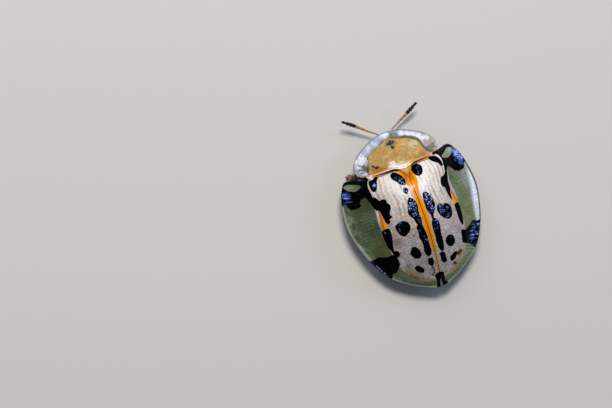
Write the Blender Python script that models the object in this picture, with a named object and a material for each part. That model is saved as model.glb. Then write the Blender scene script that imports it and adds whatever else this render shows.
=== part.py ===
# A spotted tortoise beetle at life size, standing on the plane z = 0.
# The head faces -Y and the beetle's right side is at -X. Plan places are given in millimetres as
# (right, forward), measured from a point on the wing-case seam, and heights in millimetres above the ground.
import math

import bmesh
import bpy
from mathutils import Vector

for old in list(bpy.data.objects):
    bpy.data.objects.remove(old, do_unlink=True)

MM = 0.001

# The origin lies under the middle of the whole animal, antennae included
ORIGIN_FORWARD = 1.72

# Walls of the shell, in the vault and at the rim
SHELL = 0.5
RIM_SHELL = 0.32

# Height of the shell's outer rim above the ground
RIM_HEIGHT = 1.6

# Wing-cases: (forward, value) stations from the shoulders to the tips
CREST_HEIGHT = ((3.6, 3.05), (2.2, 3.42), (0.9, 3.55), (-0.8, 3.38), (-2.4, 2.78), (-4.0, 1.86), (-5.75, 0.62))
MARGIN = ((4.4, 4.92), (4.75, 4.92), (5.02, 4.78), (5.22, 4.5), (5.58, 3.8), (5.88, 2.5), (6.0, 1.0),
          (5.75, -0.5), (5.15, -2.3), (4.2, -3.95), (2.85, -5.1), (1.45, -5.9), (0.6, -6.24), (0.17, -6.36))
DISC_EDGE = ((3.35, 4.5), (3.72, 3.3), (3.42, 1.8), (3.62, -0.3), (3.45, -2.1), (2.9, -4.0), (1.75, -5.2),
             (0.18, -5.84))
DISC_EDGE_RISE = (1.62, 1.45, 1.3, 1.32, 1.25, 1.0, 0.72, 0.55)
BASE_LINE = ((0.13, 3.2), (0.36, 3.45), (0.68, 4.08), (1.6, 4.36), (2.7, 4.42), (3.35, 4.5))
SEAM_BACK = -5.72
SEAM_HALF_GAP = 0.13
BASE_BOW_FADE = 5
VAULT_POWER = 1.3
MARGIN_HOLLOW = 0.12
WING_CASE_ROWS = 22
VAULT_COLUMNS = 10
MARGIN_COLUMNS = 4

# Pronotum: its hind edge and its front edge, from the middle to the hind corner
PRONOTUM_HIND = ((0.0, 4.4), (0.9, 4.56), (2.5, 4.72), (3.35, 4.95), (3.68, 5.2))
PRONOTUM_FRONT = ((0.0, 7.8), (1.0, 7.66), (1.95, 7.3), (3.1, 6.6), (3.68, 5.85), (3.78, 5.4))
PRONOTUM_RIGHT_CORNER = (2.2, 3.7, 0.14)  # from here to here the right corner widens, and by how much
PRONOTUM_CREST = 2.85
PRONOTUM_CORNER_RISE = 0.5
PRONOTUM_HALF_WIDTH = 3.75
PRONOTUM_ARCH_POWER = 0.9
PRONOTUM_SIDE_EASE = 0.25
PRONOTUM_THIN_FROM = 0.6
PRONOTUM_COLUMNS = 25
PRONOTUM_ROWS = 10

# Scutellum, the small triangle between the wing-case bases
SCUTELLUM_HALF_WIDTH = 0.4
SCUTELLUM_FRONT = 4.12
SCUTELLUM_TIP = 3.5
SCUTELLUM_RISE = (2.88, 3.02)
SCUTELLUM_TAPER = ((0.0, 1.0), (0.5, 0.6), (1.0, 0.22))  # share from front to tip, share of the width
SCUTELLUM_LEVELS = ((SHELL, 1.0), (0.08, 1.0), (0.0, 0.85))  # drop from the top, share of the outline

# Trunk under the shell: (forward, half-width, top rise above the rim)
BELLY_HEIGHT = 1.78
FLANK_HEIGHT = 2.1
THORAX = ((5.2, 1.25, 1.15), (4.9, 1.75, 1.35), (3.9, 2.6, 1.95), (2.4, 2.8, 2.5), (0.9, 2.75, 2.62), (-0.1, 2.75, 2.55))
ABDOMEN = ((-0.4, 2.7, 2.5), (-1.4, 2.65, 2.25), (-2.7, 2.4, 1.75), (-3.9, 1.9, 1.05), (-4.8, 1.15, 0.55))
BELLY_PLATES = 5
BELLY_PLATE_SWELL = 0.07
TRUNK_ROWS = 12
BACK_COLUMNS = 12
BELLY_COLUMNS = 8
BACK_POWER = 1.1
BELLY_POWER = 4
BELLY_DROP = 0.02

# Head and eyes
HEAD_CENTRE = (0.0, 6.1, 1.36)
HEAD_SIZE = (1.15, 0.78, 0.56)
EYE_CENTRE = (1.14, 6.25, 1.38)
EYE_SIZE = (0.26, 0.34, 0.36)
EYE_GAP = 0.2
MOUTH_CENTRE = (0.0, 6.5, 0.95)
MOUTH_SIZE = (0.55, 0.38, 0.28)

# Antennae: route from the brow to the tip, and the segment count
ANTENNA_LEFT = ((-0.34, 7.1, 0.98), (-0.42, 7.62, 0.76), (-0.95, 8.35, 0.78), (-2.1, 9.12, 1.0), (-3.1, 9.84, 1.25))
ANTENNA_RIGHT = ((0.34, 7.1, 0.98), (0.58, 7.68, 0.76), (1.25, 8.2, 0.78), (2.5, 8.7, 1.0), (3.57, 9.18, 1.25))
ANTENNA_SEGMENTS = 11
ANTENNA_RADIUS = 0.25
ANTENNA_TIP_RADIUS = 0.12
ANTENNA_CLUB_FROM = 0.6
ANTENNA_CLUB_SWELL = 1.16
ANTENNA_SEGMENT_SHAPE = ((0.1, 0.86), (0.55, 1.0))  # place in the segment, share of the radius

# Legs: hip, knee, ankle and toe tip of each, with the side's sign applied by the loop below
LEGS = {
    "leg_front_left": (-1, (0.72, 4.85, 1.16), (2.2, 5.62, 1.32), (3.2, 5.0, 0.42), (4.38, 5.2, 0.2)),
    "leg_front_right": (1, (0.72, 4.85, 1.16), (2.25, 5.5, 1.32), (2.45, 4.35, 0.42), (3.35, 3.95, 0.2)),
    "leg_middle_left": (-1, (0.95, 2.7, 1.14), (2.95, 2.45, 1.36), (2.8, 1.3, 0.42), (3.4, 0.5, 0.2)),
    "leg_middle_right": (1, (0.95, 2.7, 1.14), (2.95, 2.35, 1.36), (2.85, 1.2, 0.42), (3.42, 0.38, 0.2)),
    "leg_hind_left": (-1, (1.15, 0.7, 1.14), (2.85, -0.95, 1.36), (2.45, -2.1, 0.42), (2.85, -3.1, 0.2)),
    "leg_hind_right": (1, (1.15, 0.7, 1.14), (2.85, -1.05, 1.36), (2.5, -2.2, 0.42), (2.95, -3.15, 0.2)),
}
HIP_SIZE = (0.42, 0.42, 0.3)
FEMUR_RADIUS = 0.35
FEMUR_SHAPE = ((0.0, 0.72), (0.3, 0.92), (0.6, 1.0), (0.88, 0.86), (1.06, 0.5))  # share from hip to knee, of the radius
FEMUR_FLATNESS = 0.9
TIBIA_RADIUS = 0.25
TIBIA_SHAPE = ((-0.08, 0.7), (0.1, 1.0), (0.6, 1.02), (1.0, 1.1))  # share from knee to ankle, share of the radius
PAD_HALF_WIDTHS = (0.27, 0.33, 0.41)
PAD_START = -0.12
PAD_PITCH = 0.3
PAD_THICKNESS = 0.34
PAD_SHAPE = ((0.0, 0.62), (0.45, 1.0), (0.85, 0.9))  # place in the pad, share of its half-width
PAD_TIP_WIDTH = 0.45
PAD_NOTCH = 0.25
PAD_LEVELS = ((0.0, 0.9), (0.1, 1.0), (PAD_THICKNESS, 0.86))  # height, share of the outline
CLAW_RADIUS = 0.13
CLAW_SHAPE = (1.2, 1.0, 0.5)  # shares of the radius at the root, the bend and the tip
CLAW_ROOT = (0.62, 0.24)  # share of the foot's length, height
CLAW_TIP = (1.0, 0.1)
CLAW_SPREAD = 0.2
CLAW_BEND = (0.6, 0.1)  # share from root to tip, lift

# Length of the point that closes the end of a tube
TUBE_POINT = 0.06
CREASE_ANGLE = 50

COLOURS = {
    "shell": ((0.62, 0.56, 0.48), 0.25),
    "pronotum": ((0.56, 0.4, 0.14), 0.25),
    "seam": ((0.55, 0.2, 0.02), 0.35),
    "dark": ((0.02, 0.018, 0.015), 0.3),
    "trunk": ((0.3, 0.13, 0.03), 0.4),
    "limb": ((0.42, 0.19, 0.05), 0.45),
}


def place(right, forward, height):
    """The point of the model for a place on the beetle."""
    return Vector((-right, ORIGIN_FORWARD - forward, height)) * MM


def material(name):
    """A Principled material with one of the beetle's colours."""
    made = bpy.data.materials.get(name)
    if made is None:
        colour, roughness = COLOURS[name]
        made = bpy.data.materials.new(name)
        made.use_nodes = True
        shader = made.node_tree.nodes["Principled BSDF"]
        shader.inputs["Base Color"].default_value = (*colour, 1.0)
        shader.inputs["Roughness"].default_value = roughness
        shader.inputs["Metallic"].default_value = 0.0
    return made


def mesh_object(name, points, faces, finish):
    """An object with its normals facing out and smooth shading."""
    mesh = bpy.data.meshes.new(name)
    mesh.from_pydata(points, [], faces)
    shape = bmesh.new()
    shape.from_mesh(mesh)
    bmesh.ops.triangulate(shape, faces=[face for face in shape.faces if len(face.verts) > 4])
    bmesh.ops.recalc_face_normals(shape, faces=shape.faces)
    shape.to_mesh(mesh)
    shape.free()
    mesh.shade_smooth()
    mesh.set_sharp_from_angle(angle=math.radians(CREASE_ANGLE))
    mesh.materials.append(material(finish))
    made = bpy.data.objects.new(name, mesh)
    bpy.context.scene.collection.objects.link(made)
    return made


def curve_through(stations, share):
    """A point on the smooth curve through the stations, share running from 0 to 1 along their length."""
    stations = [Vector(station) for station in stations]
    lengths = [0.0]
    for start, end in zip(stations, stations[1:]):
        lengths.append(lengths[-1] + (end - start).length)
    goal = min(max(share, 0.0), 1.0) * lengths[-1]
    last = len(stations) - 1
    i = max(k for k in range(last) if lengths[k] <= goal)
    span = lengths[i + 1] - lengths[i]
    t = (goal - lengths[i]) / span

    def slope(k):
        before = max(k - 1, 0)
        after = min(k + 1, last)
        return (stations[after] - stations[before]) / (lengths[after] - lengths[before])

    ease = t * t * (3 - 2 * t)
    start_part = stations[i].lerp(stations[i + 1], ease)
    start_pull = slope(i) * span * t * (1 - t) ** 2
    end_pull = slope(i + 1) * span * t * t * (t - 1)
    return start_part + start_pull + end_pull


def crest_rise(forward):
    """Height of the wing-case crest above the rim at a station along the seam."""
    front, back = CREST_HEIGHT[0][0], CREST_HEIGHT[-1][0]
    if forward >= front:
        return CREST_HEIGHT[0][1]
    low, high = 0.0, 1.0
    for _ in range(24):
        middle = (low + high) / 2
        if curve_through(CREST_HEIGHT, middle).x > max(forward, back):
            low = middle
        else:
            high = middle
    return curve_through(CREST_HEIGHT, low).y


def wing_case_point(side, along, across):
    """A point on the top of a wing-case: along runs from base to tip, across from 0 at the seam through 1 at
    the edge of the vault to 2 at the rim of the margin."""
    seam_front = BASE_LINE[0][1]
    seam_forward = seam_front + (SEAM_BACK - seam_front) * along
    stations = [Vector((x, y, rise)) for (x, y), rise in zip(DISC_EDGE, DISC_EDGE_RISE)]
    edge = curve_through(stations, along)
    rim = curve_through(MARGIN, along)
    if across <= 1:
        base = curve_through(BASE_LINE, across)
        straight_base = Vector((SEAM_HALF_GAP, seam_front)).lerp(Vector(DISC_EDGE[0]), across)
        bow = (base - straight_base) * (1 - along) ** BASE_BOW_FADE
        right = SEAM_HALF_GAP + (edge.x - SEAM_HALF_GAP) * across + bow.x
        forward = seam_forward + (edge.y - seam_forward) * across + bow.y
        crown = crest_rise(forward)
        rise = edge.z + (crown - edge.z) * (1 - across * across) ** VAULT_POWER
    else:
        out = across - 1
        right = edge.x + (rim.x - edge.x) * out
        forward = edge.y + (rim.y - edge.y) * out
        rise = edge.z * (1 - out) - MARGIN_HOLLOW * math.sin(math.pi * out)
    return Vector((side * right, forward, RIM_HEIGHT + rise))


def pronotum_point(across, along):
    """A point on the top of the pronotum: across from -1 at the left corner to 1, along from 0 behind to 1."""
    side = -1 if across < 0 else 1
    share = abs(across)
    hind = curve_through(PRONOTUM_HIND, share)
    front = curve_through(PRONOTUM_FRONT, share)
    right = hind.x + (front.x - hind.x) * along
    if side > 0:
        start, end, most = PRONOTUM_RIGHT_CORNER
        right += most * max(0.0, min(1.0, (right - start) / (end - start))) ** 2
    forward = hind.y + (front.y - hind.y) * along
    fall = (1 - (hind.x / PRONOTUM_HALF_WIDTH) ** 2) ** PRONOTUM_ARCH_POWER
    top = PRONOTUM_CORNER_RISE + (PRONOTUM_CREST - PRONOTUM_CORNER_RISE) * fall
    eased = along ** (1 - PRONOTUM_SIDE_EASE * share)
    rise = top * (0.5 * (1 - eased) + 0.25 * (1 + math.cos(math.pi * eased)))
    return Vector((side * right, forward, RIM_HEIGHT + rise))


def closed_shell(name, grid, thickness, finish):
    """A solid shell under a grid of top points, split into the same triangles on both faces. thickness gives
    the wall at each place of the grid, measured square to the surface but straight down at its edges."""
    rows, columns = len(grid), len(grid[0])
    under = []
    for i in range(rows):
        under.append([])
        for j in range(columns):
            along = grid[min(i + 1, rows - 1)][j] - grid[max(i - 1, 0)][j]
            across = grid[i][min(j + 1, columns - 1)] - grid[i][max(j - 1, 0)]
            normal = along.cross(across).normalized()
            if normal.z < 0:
                normal.negate()
            if i in (0, rows - 1) or j in (0, columns - 1):
                normal = Vector((0, 0, 1))
            under[i].append(grid[i][j] - normal * thickness(i, j))
    points = [place(*p) for row in grid for p in row] + [place(*p) for row in under for p in row]
    lower = rows * columns
    faces = []
    for i in range(rows - 1):
        for j in range(columns - 1):
            a, b, c, d = (i * columns + j, i * columns + j + 1, (i + 1) * columns + j + 1, (i + 1) * columns + j)
            faces += [(a, b, c), (a, c, d)]
            faces += [(lower + c, lower + b, lower + a), (lower + d, lower + c, lower + a)]
    rim = [j for j in range(columns)]
    rim += [i * columns + columns - 1 for i in range(1, rows)]
    rim += [(rows - 1) * columns + j for j in range(columns - 2, -1, -1)]
    rim += [i * columns for i in range(rows - 2, 0, -1)]
    for a, b in zip(rim, rim[1:] + rim[:1]):
        faces.append((a, lower + a, lower + b, b))
    return mesh_object(name, points, faces, finish)


def loft(name, rings, finish, pointed=False):
    """A closed body through rings of equally many points, with flat ends, or one end brought to a point."""
    count = len(rings[0])
    points = [p for ring in rings for p in ring]
    faces = []
    for i in range(len(rings) - 1):
        for j in range(count):
            k = (j + 1) % count
            faces.append((i * count + j, i * count + k, (i + 1) * count + k, (i + 1) * count + j))
    for start in (0, (len(rings) - 1) * count):
        middle = sum(points[start:start + count], Vector()) / count
        if pointed and start:
            middle += (middle - sum(rings[-2], Vector()) / count).normalized() * TUBE_POINT * MM
        points.append(middle)
        hub = len(points) - 1
        faces += [(start + j, start + (j + 1) % count, hub) for j in range(count)]
    return mesh_object(name, points, faces, finish)


def ellipsoid(name, centre, size, finish, turns=14, levels=8):
    """A closed egg shape whose half-sizes run right, forward and up."""
    rings = []
    for i in range(1, levels):
        angle = math.pi * i / levels
        ring = []
        for j in range(turns):
            turn = 2 * math.pi * j / turns
            ring.append(place(centre[0] + size[0] * math.sin(angle) * math.cos(turn),
                              centre[1] + size[1] * math.sin(angle) * math.sin(turn),
                              centre[2] + size[2] * math.cos(angle)))
        rings.append(ring)
    return loft(name, rings, finish)


def tube(name, route, radii, finish, sides=8, flat=1.0):
    """A closed tube along (right, forward, height) points with a radius at each; flat squeezes it upright."""
    route = [Vector(p) for p in route]
    rings = []
    for i, (centre, radius) in enumerate(zip(route, radii)):
        ahead = (route[min(i + 1, len(route) - 1)] - route[max(i - 1, 0)]).normalized()
        level = ahead.cross(Vector((0, 0, 1))).normalized()
        upright = level.cross(ahead)
        ring = []
        for j in range(sides):
            turn = 2 * math.pi * (j + 0.5) / sides
            ring.append(place(*(centre + level * radius * math.cos(turn) + upright * radius * flat * math.sin(turn))))
        rings.append(ring)
    return loft(name, rings, finish, pointed=True)


def fuse(name, pieces, finish):
    """One closed body from overlapping pieces, which are removed."""
    group = bpy.data.collections.new(name + "_pieces")
    for piece in pieces[1:]:
        group.objects.link(piece)
    base = pieces[0]
    union = base.modifiers.new("union", "BOOLEAN")
    union.operation = "UNION"
    union.operand_type = "COLLECTION"
    union.collection = group
    union.solver = "MANIFOLD"
    bpy.context.view_layer.update()
    joined = bpy.data.meshes.new_from_object(base.evaluated_get(bpy.context.evaluated_depsgraph_get()))
    for piece in pieces:
        bpy.data.objects.remove(piece, do_unlink=True)
    bpy.data.collections.remove(group)
    shape = bmesh.new()
    shape.from_mesh(joined)
    keep_largest(shape)
    shape.to_mesh(joined)
    shape.free()
    joined.name = name
    joined.materials.clear()
    joined.materials.append(material(finish))
    joined.shade_smooth()
    joined.set_sharp_from_angle(angle=math.radians(CREASE_ANGLE))
    made = bpy.data.objects.new(name, joined)
    bpy.context.scene.collection.objects.link(made)
    return made


def keep_largest(shape):
    """Deletes all but the largest connected surface."""
    left = set(shape.verts)
    groups = []
    while left:
        stack = [left.pop()]
        group = set(stack)
        while stack:
            for edge in stack.pop().link_edges:
                for vertex in edge.verts:
                    if vertex in left:
                        left.remove(vertex)
                        group.add(vertex)
                        stack.append(vertex)
        groups.append(group)
    groups.sort(key=len)
    spare = [vertex for group in groups[:-1] for vertex in group]
    bmesh.ops.delete(shape, geom=spare, context="VERTS")


def make_wing_cases():
    """Two wing-cases, each a vault with a flared margin, with a corner left free for the scutellum."""
    rows, vault_columns, margin_columns = WING_CASE_ROWS, VAULT_COLUMNS, MARGIN_COLUMNS
    for side, name in ((-1, "elytron_left"), (1, "elytron_right")):
        grid = []
        for i in range(rows):
            along = i / (rows - 1)
            row = []
            for j in range(vault_columns + margin_columns + 1):
                inner = j / vault_columns
                outer = 1 + (j - vault_columns) / margin_columns
                row.append(wing_case_point(side, along, inner if j <= vault_columns else outer))
            grid.append(row)

        def wall(_, j):
            out = max(0.0, (j - vault_columns) / margin_columns)
            return SHELL + (RIM_SHELL - SHELL) * out

        closed_shell(name, grid, wall, "shell")


def make_pronotum():
    """The shield over the head and the front of the thorax."""
    columns, rows = PRONOTUM_COLUMNS, PRONOTUM_ROWS
    grid = []
    for i in range(rows):
        along = i / (rows - 1)
        grid.append([pronotum_point(-1 + 2 * j / (columns - 1), along) for j in range(columns)])

    def wall(i, _):
        out = max(0.0, (i / (rows - 1) - PRONOTUM_THIN_FROM) / (1 - PRONOTUM_THIN_FROM))
        return SHELL + (RIM_SHELL - SHELL) * out

    closed_shell("pronotum", grid, wall, "pronotum")


def make_scutellum():
    """The small triangular plate between the bases of the wing-cases and the pronotum."""
    middle = 0.5 * (SCUTELLUM_FRONT + SCUTELLUM_TIP)
    front_rise, tip_rise = SCUTELLUM_RISE
    outline = []
    for share, width in SCUTELLUM_TAPER:
        forward = SCUTELLUM_FRONT + (SCUTELLUM_TIP - SCUTELLUM_FRONT) * share
        rise = front_rise + (tip_rise - front_rise) * share
        outline.append((SCUTELLUM_HALF_WIDTH * width, forward, RIM_HEIGHT + rise))
    outline += [(-right, forward, height) for right, forward, height in reversed(outline)]
    rings = []
    for drop, share in SCUTELLUM_LEVELS:
        rings.append([place(x * share, middle + (y - middle) * share, z - drop) for x, y, z in outline])
    loft("scutellum", rings, "seam")


def make_trunk(name, stations, plates):
    """A length of the trunk: an arched back under the shell and a gently rounded belly."""
    rows, arch, base = TRUNK_ROWS, BACK_COLUMNS, BELLY_COLUMNS
    rings = []
    for i in range(rows):
        share = i / (rows - 1)
        forward, half_width, top = curve_through(stations, share)
        swell = BELLY_PLATE_SWELL * abs(math.sin(math.pi * plates * share)) if plates else 0.0
        crown = RIM_HEIGHT + top
        ring = []
        for j in range(arch + 1):
            across = -1 + 2 * j / arch
            height = FLANK_HEIGHT + (crown - FLANK_HEIGHT) * (1 - across * across) ** BACK_POWER
            ring.append(place(across * half_width, forward, height))
        for j in range(1, base):
            across = 1 - 2 * j / base
            depth = (FLANK_HEIGHT - BELLY_HEIGHT + swell) * (1 - across ** BELLY_POWER)
            ring.append(place(across * half_width, forward, FLANK_HEIGHT - depth - BELLY_DROP))
        rings.append(ring)
    return loft(name, rings, "trunk")


def make_head():
    """Head and mouthparts in one, and an eye at each side of the brow."""
    skull = ellipsoid("skull", HEAD_CENTRE, HEAD_SIZE, "trunk", turns=18, levels=10)
    mouth = ellipsoid("mouth", MOUTH_CENTRE, MOUTH_SIZE, "trunk", turns=12, levels=6)
    head = fuse("head", [skull, mouth], "trunk")
    for side, name in ((-1, "eye_left"), (1, "eye_right")):
        centre = (side * EYE_CENTRE[0], EYE_CENTRE[1], EYE_CENTRE[2])
        socket = ellipsoid("socket", centre, [half + EYE_GAP for half in EYE_SIZE], "trunk")
        cut = head.modifiers.new("socket_" + name, "BOOLEAN")
        cut.operation = "DIFFERENCE"
        cut.object = socket
        socket.hide_render = True
        socket.display_type = "WIRE"
        ellipsoid(name, centre, EYE_SIZE, "dark", turns=12, levels=7)


def make_antenna(name, route):
    """An antenna of eleven segments, slim at the base, with the last four thicker."""
    centres, radii = [], []
    for i in range(ANTENNA_SEGMENTS):
        share = i / (ANTENNA_SEGMENTS - 1)
        swell = ANTENNA_RADIUS * (ANTENNA_CLUB_SWELL if share > ANTENNA_CLUB_FROM else 1.0)
        if i == ANTENNA_SEGMENTS - 1:
            swell = ANTENNA_TIP_RADIUS
        for step, waist in ANTENNA_SEGMENT_SHAPE:
            last_place = ANTENNA_SEGMENTS - 1 + ANTENNA_SEGMENT_SHAPE[-1][0]
            centres.append(curve_through(route, (i + step) / last_place))
            radii.append(swell * waist)
    tube(name, centres, radii, "limb")


def foot(name, start, ahead, reach):
    """The flat-soled foot: pads that widen towards the tip, where the last one is split into two lobes."""
    level = Vector((ahead.y, -ahead.x, 0))
    side_line = []
    for i, half_width in enumerate(PAD_HALF_WIDTHS):
        for step, waist in PAD_SHAPE:
            side_line.append((PAD_START + PAD_PITCH * (i + step), half_width * waist))
    side_line.append((PAD_START + PAD_PITCH * len(PAD_HALF_WIDTHS), PAD_TIP_WIDTH * PAD_HALF_WIDTHS[-1]))
    tip_notch = (PAD_START + PAD_PITCH * (len(PAD_HALF_WIDTHS) - PAD_NOTCH), 0.0)
    outline = side_line + [tip_notch] + [(share, -width) for share, width in reversed(side_line)]
    middle = start + ahead * reach * (PAD_START + 0.5 * PAD_PITCH * len(PAD_HALF_WIDTHS))
    rings = []
    for height, inset in PAD_LEVELS:
        ring = []
        for share, width in outline:
            point = start + ahead * reach * share + level * width
            ring.append(place(*(middle + (point - middle) * inset + Vector((0, 0, height)))))
        rings.append(ring)
    return loft(name, rings, "limb")


def make_leg(name, side, hip, knee, ankle, toe):
    """Hip, thigh, shin, three foot pads and a pair of claws, fused into one leg."""
    hip, knee, ankle, toe = (Vector((side * p[0], p[1], p[2])) for p in (hip, knee, ankle, toe))
    pieces = [ellipsoid("hip", hip, HIP_SIZE, "limb", turns=12, levels=6)]
    thigh = [hip.lerp(knee, share) for share, _ in FEMUR_SHAPE]
    girth = [FEMUR_RADIUS * width for _, width in FEMUR_SHAPE]
    pieces.append(tube("thigh", thigh, girth, "limb", flat=FEMUR_FLATNESS))
    shin = [knee.lerp(ankle, share) for share, _ in TIBIA_SHAPE]
    girth = [TIBIA_RADIUS * width for _, width in TIBIA_SHAPE]
    pieces.append(tube("shin", shin, girth, "limb"))
    walk = Vector((toe.x - ankle.x, toe.y - ankle.y, 0))
    reach = walk.length
    ahead = walk.normalized()
    start = Vector((ankle.x, ankle.y, 0))
    pieces.append(foot("foot", start, ahead, reach))
    root = start + ahead * reach * CLAW_ROOT[0] + Vector((0, 0, CLAW_ROOT[1]))
    level = Vector((ahead.y, -ahead.x, 0))
    for lean in (-1, 1):
        tip = start + ahead * reach * CLAW_TIP[0] + level * lean * CLAW_SPREAD + Vector((0, 0, CLAW_TIP[1]))
        bend = root.lerp(tip, CLAW_BEND[0]) + Vector((0, 0, CLAW_BEND[1]))
        girth = [CLAW_RADIUS * width for width in CLAW_SHAPE]
        pieces.append(tube("claw", (root, bend, tip), girth, "limb", sides=6))
    fuse(name, pieces, "limb")


make_wing_cases()
make_pronotum()
make_scutellum()
make_trunk("thorax", THORAX, 0)
make_trunk("abdomen", ABDOMEN, BELLY_PLATES)
make_head()
make_antenna("antenna_left", ANTENNA_LEFT)
make_antenna("antenna_right", ANTENNA_RIGHT)
for leg, joints in LEGS.items():
    make_leg(leg, *joints)
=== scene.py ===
import math
from functools import partial
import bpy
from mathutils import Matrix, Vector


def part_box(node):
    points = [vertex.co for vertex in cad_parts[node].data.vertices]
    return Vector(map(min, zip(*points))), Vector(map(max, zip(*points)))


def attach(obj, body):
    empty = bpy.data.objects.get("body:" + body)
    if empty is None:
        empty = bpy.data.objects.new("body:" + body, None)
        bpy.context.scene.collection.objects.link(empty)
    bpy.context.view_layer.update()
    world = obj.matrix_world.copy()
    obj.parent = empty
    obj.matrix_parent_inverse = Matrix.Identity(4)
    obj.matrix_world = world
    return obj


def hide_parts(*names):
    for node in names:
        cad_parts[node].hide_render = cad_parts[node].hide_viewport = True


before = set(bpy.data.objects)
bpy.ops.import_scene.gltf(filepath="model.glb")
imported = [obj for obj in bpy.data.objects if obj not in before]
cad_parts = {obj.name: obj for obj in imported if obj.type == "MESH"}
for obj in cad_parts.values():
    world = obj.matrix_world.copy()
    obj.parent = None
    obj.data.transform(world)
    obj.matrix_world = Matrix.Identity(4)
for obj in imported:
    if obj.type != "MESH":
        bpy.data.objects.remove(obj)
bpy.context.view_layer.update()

from types import SimpleNamespace

import bmesh
import bpy
import numpy as np
from mathutils import Matrix, Vector

mm = 0.001

# Plan places are (right, forward) in millimetres from a point on the wing-case seam, as the part was measured.
# The pronotum's front rim and the shell's rim height give where that point lies in the frame.
plan = {"pronotumFront": 7.8, "rimWall": 0.32}
plan["originForward"] = plan["pronotumFront"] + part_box("pronotum")[0].y / mm
plan["rimHeight"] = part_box("pronotum")[0].z / mm + plan["rimWall"]


def place(right, forward, height):
    # millimetres on the beetle to metres in the frame; takes numbers or arrays
    return np.stack([-np.asarray(right), plan["originForward"] - np.asarray(forward), np.asarray(height)], -1) * mm


def curveThrough(stations, shares):
    # points on the smooth curve through the stations, for shares from 0 to 1 of its length
    stations = np.asarray(stations, float)
    steps = np.linalg.norm(np.diff(stations, axis=0), axis=1)
    lengths = np.concatenate([[0], np.cumsum(steps)])
    goal = np.clip(shares, 0, 1) * lengths[-1]
    last = len(stations) - 1
    i = np.clip(np.searchsorted(lengths, goal, side="right") - 1, 0, last - 1)
    before = np.maximum(np.arange(last + 1) - 1, 0)
    after = np.minimum(np.arange(last + 1) + 1, last)
    slopes = (stations[after] - stations[before]) / (lengths[after] - lengths[before])[:, None]
    span = steps[i][..., None]
    t = ((goal - lengths[i]) / steps[i])[..., None]
    ease = t * t * (3 - 2 * t)
    middle = stations[i] + (stations[i + 1] - stations[i]) * ease
    return middle + slopes[i] * span * t * (1 - t) ** 2 + slopes[i + 1] * span * t * t * (t - 1)


def along(stations, at):
    # a value read off a list of (place, value) stations, smoothly
    line = curveThrough(stations, np.linspace(0, 1, 200))
    order = np.argsort(line[:, 0])
    return np.interp(at, line[order, 0], line[order, 1])


def ripple(right, forward, size, seed):
    # a smooth wobble between -1 and 1 with bumps of about the given size in mm
    total = 0
    for k in range(4):
        angle = seed * 1.7 + k * 2.4
        swing = (right * math.cos(angle) + forward * math.sin(angle)) * 2 * math.pi / size / (1 + 0.37 * k)
        total = total + np.sin(swing + seed * 3.1 + k * 1.3)
    return total / 4


def bell(*shares):
    # 1 in the middle and softly down to 0 outside; each share is a distance over its half-width
    return np.exp(-sum(share ** 2 for share in shares))


def addObject(name, data):
    # a new object in the scene, at the origin
    made = bpy.data.objects.new(name, data)
    bpy.context.scene.collection.objects.link(made)
    return made


def setMarks(mesh, marks, kind="FLOAT"):
    # values for each point of a mesh, by the name of the attribute
    for key, values in marks.items():
        store = mesh.attributes.new(key, kind, "POINT").data
        store.foreach_set("value" if kind == "FLOAT" else "vector", np.asarray(values, np.float32).ravel())


def faceOutward(mesh):
    shape = bmesh.new()
    shape.from_mesh(mesh)
    bmesh.ops.recalc_face_normals(shape, faces=shape.faces)
    shape.to_mesh(mesh)
    shape.free()
    mesh.shade_smooth()


def platePiece(name, top, wall, marks, finish):
    # a thin closed plate: a grid of top points (rows, columns, xyz in metres) and the same grid below it
    rows, columns = top.shape[:2]
    normal = np.cross(np.gradient(top, axis=0), np.gradient(top, axis=1))
    normal /= np.maximum(np.linalg.norm(normal, axis=2, keepdims=True), 1e-12)
    normal *= np.where(normal[..., 2:3] < 0, -1, 1)
    under = top - normal * wall * mm
    index = np.arange(rows * columns).reshape(rows, columns)
    a, b, c, d = index[:-1, :-1], index[:-1, 1:], index[1:, 1:], index[1:, :-1]
    upper = np.stack([a, b, c, d], -1).reshape(-1, 4)
    lower = upper[:, ::-1] + rows * columns
    ring = np.concatenate([index[0], index[1:, -1], index[-1, -2::-1], index[-2:0:-1, 0]])
    following = np.roll(ring, -1)
    side = np.stack([ring, ring + rows * columns, following + rows * columns, following], -1)
    points = np.concatenate([top.reshape(-1, 3), under.reshape(-1, 3)])
    faces = np.concatenate([upper, lower, side])
    mesh = bpy.data.meshes.new(name)
    mesh.vertices.add(len(points))
    mesh.vertices.foreach_set("co", points.astype(np.float32).ravel())
    mesh.loops.add(faces.size)
    mesh.loops.foreach_set("vertex_index", faces.ravel().astype(np.int32))
    mesh.polygons.add(len(faces))
    mesh.polygons.foreach_set("loop_start", np.arange(0, faces.size, 4, dtype=np.int32))
    mesh.update(calc_edges=True)
    mesh.validate()
    setMarks(mesh, {key: np.tile(values.ravel(), 2) for key, values in marks.items()})
    faceOutward(mesh)
    mesh.materials.append(finish)
    return addObject(name, mesh)


def hexColour(code):
    # an sRGB hex value as linear RGBA
    parts = [int(code[i:i + 2], 16) / 255 for i in (1, 3, 5)]
    return tuple(p / 12.92 if p <= 0.04045 else ((p + 0.055) / 1.055) ** 2.4 for p in parts) + (1.0,)


def newMaterial(name):
    made = bpy.data.materials.new(name)
    made.use_nodes = True
    return made, made.node_tree, made.node_tree.nodes["Principled BSDF"]


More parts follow.
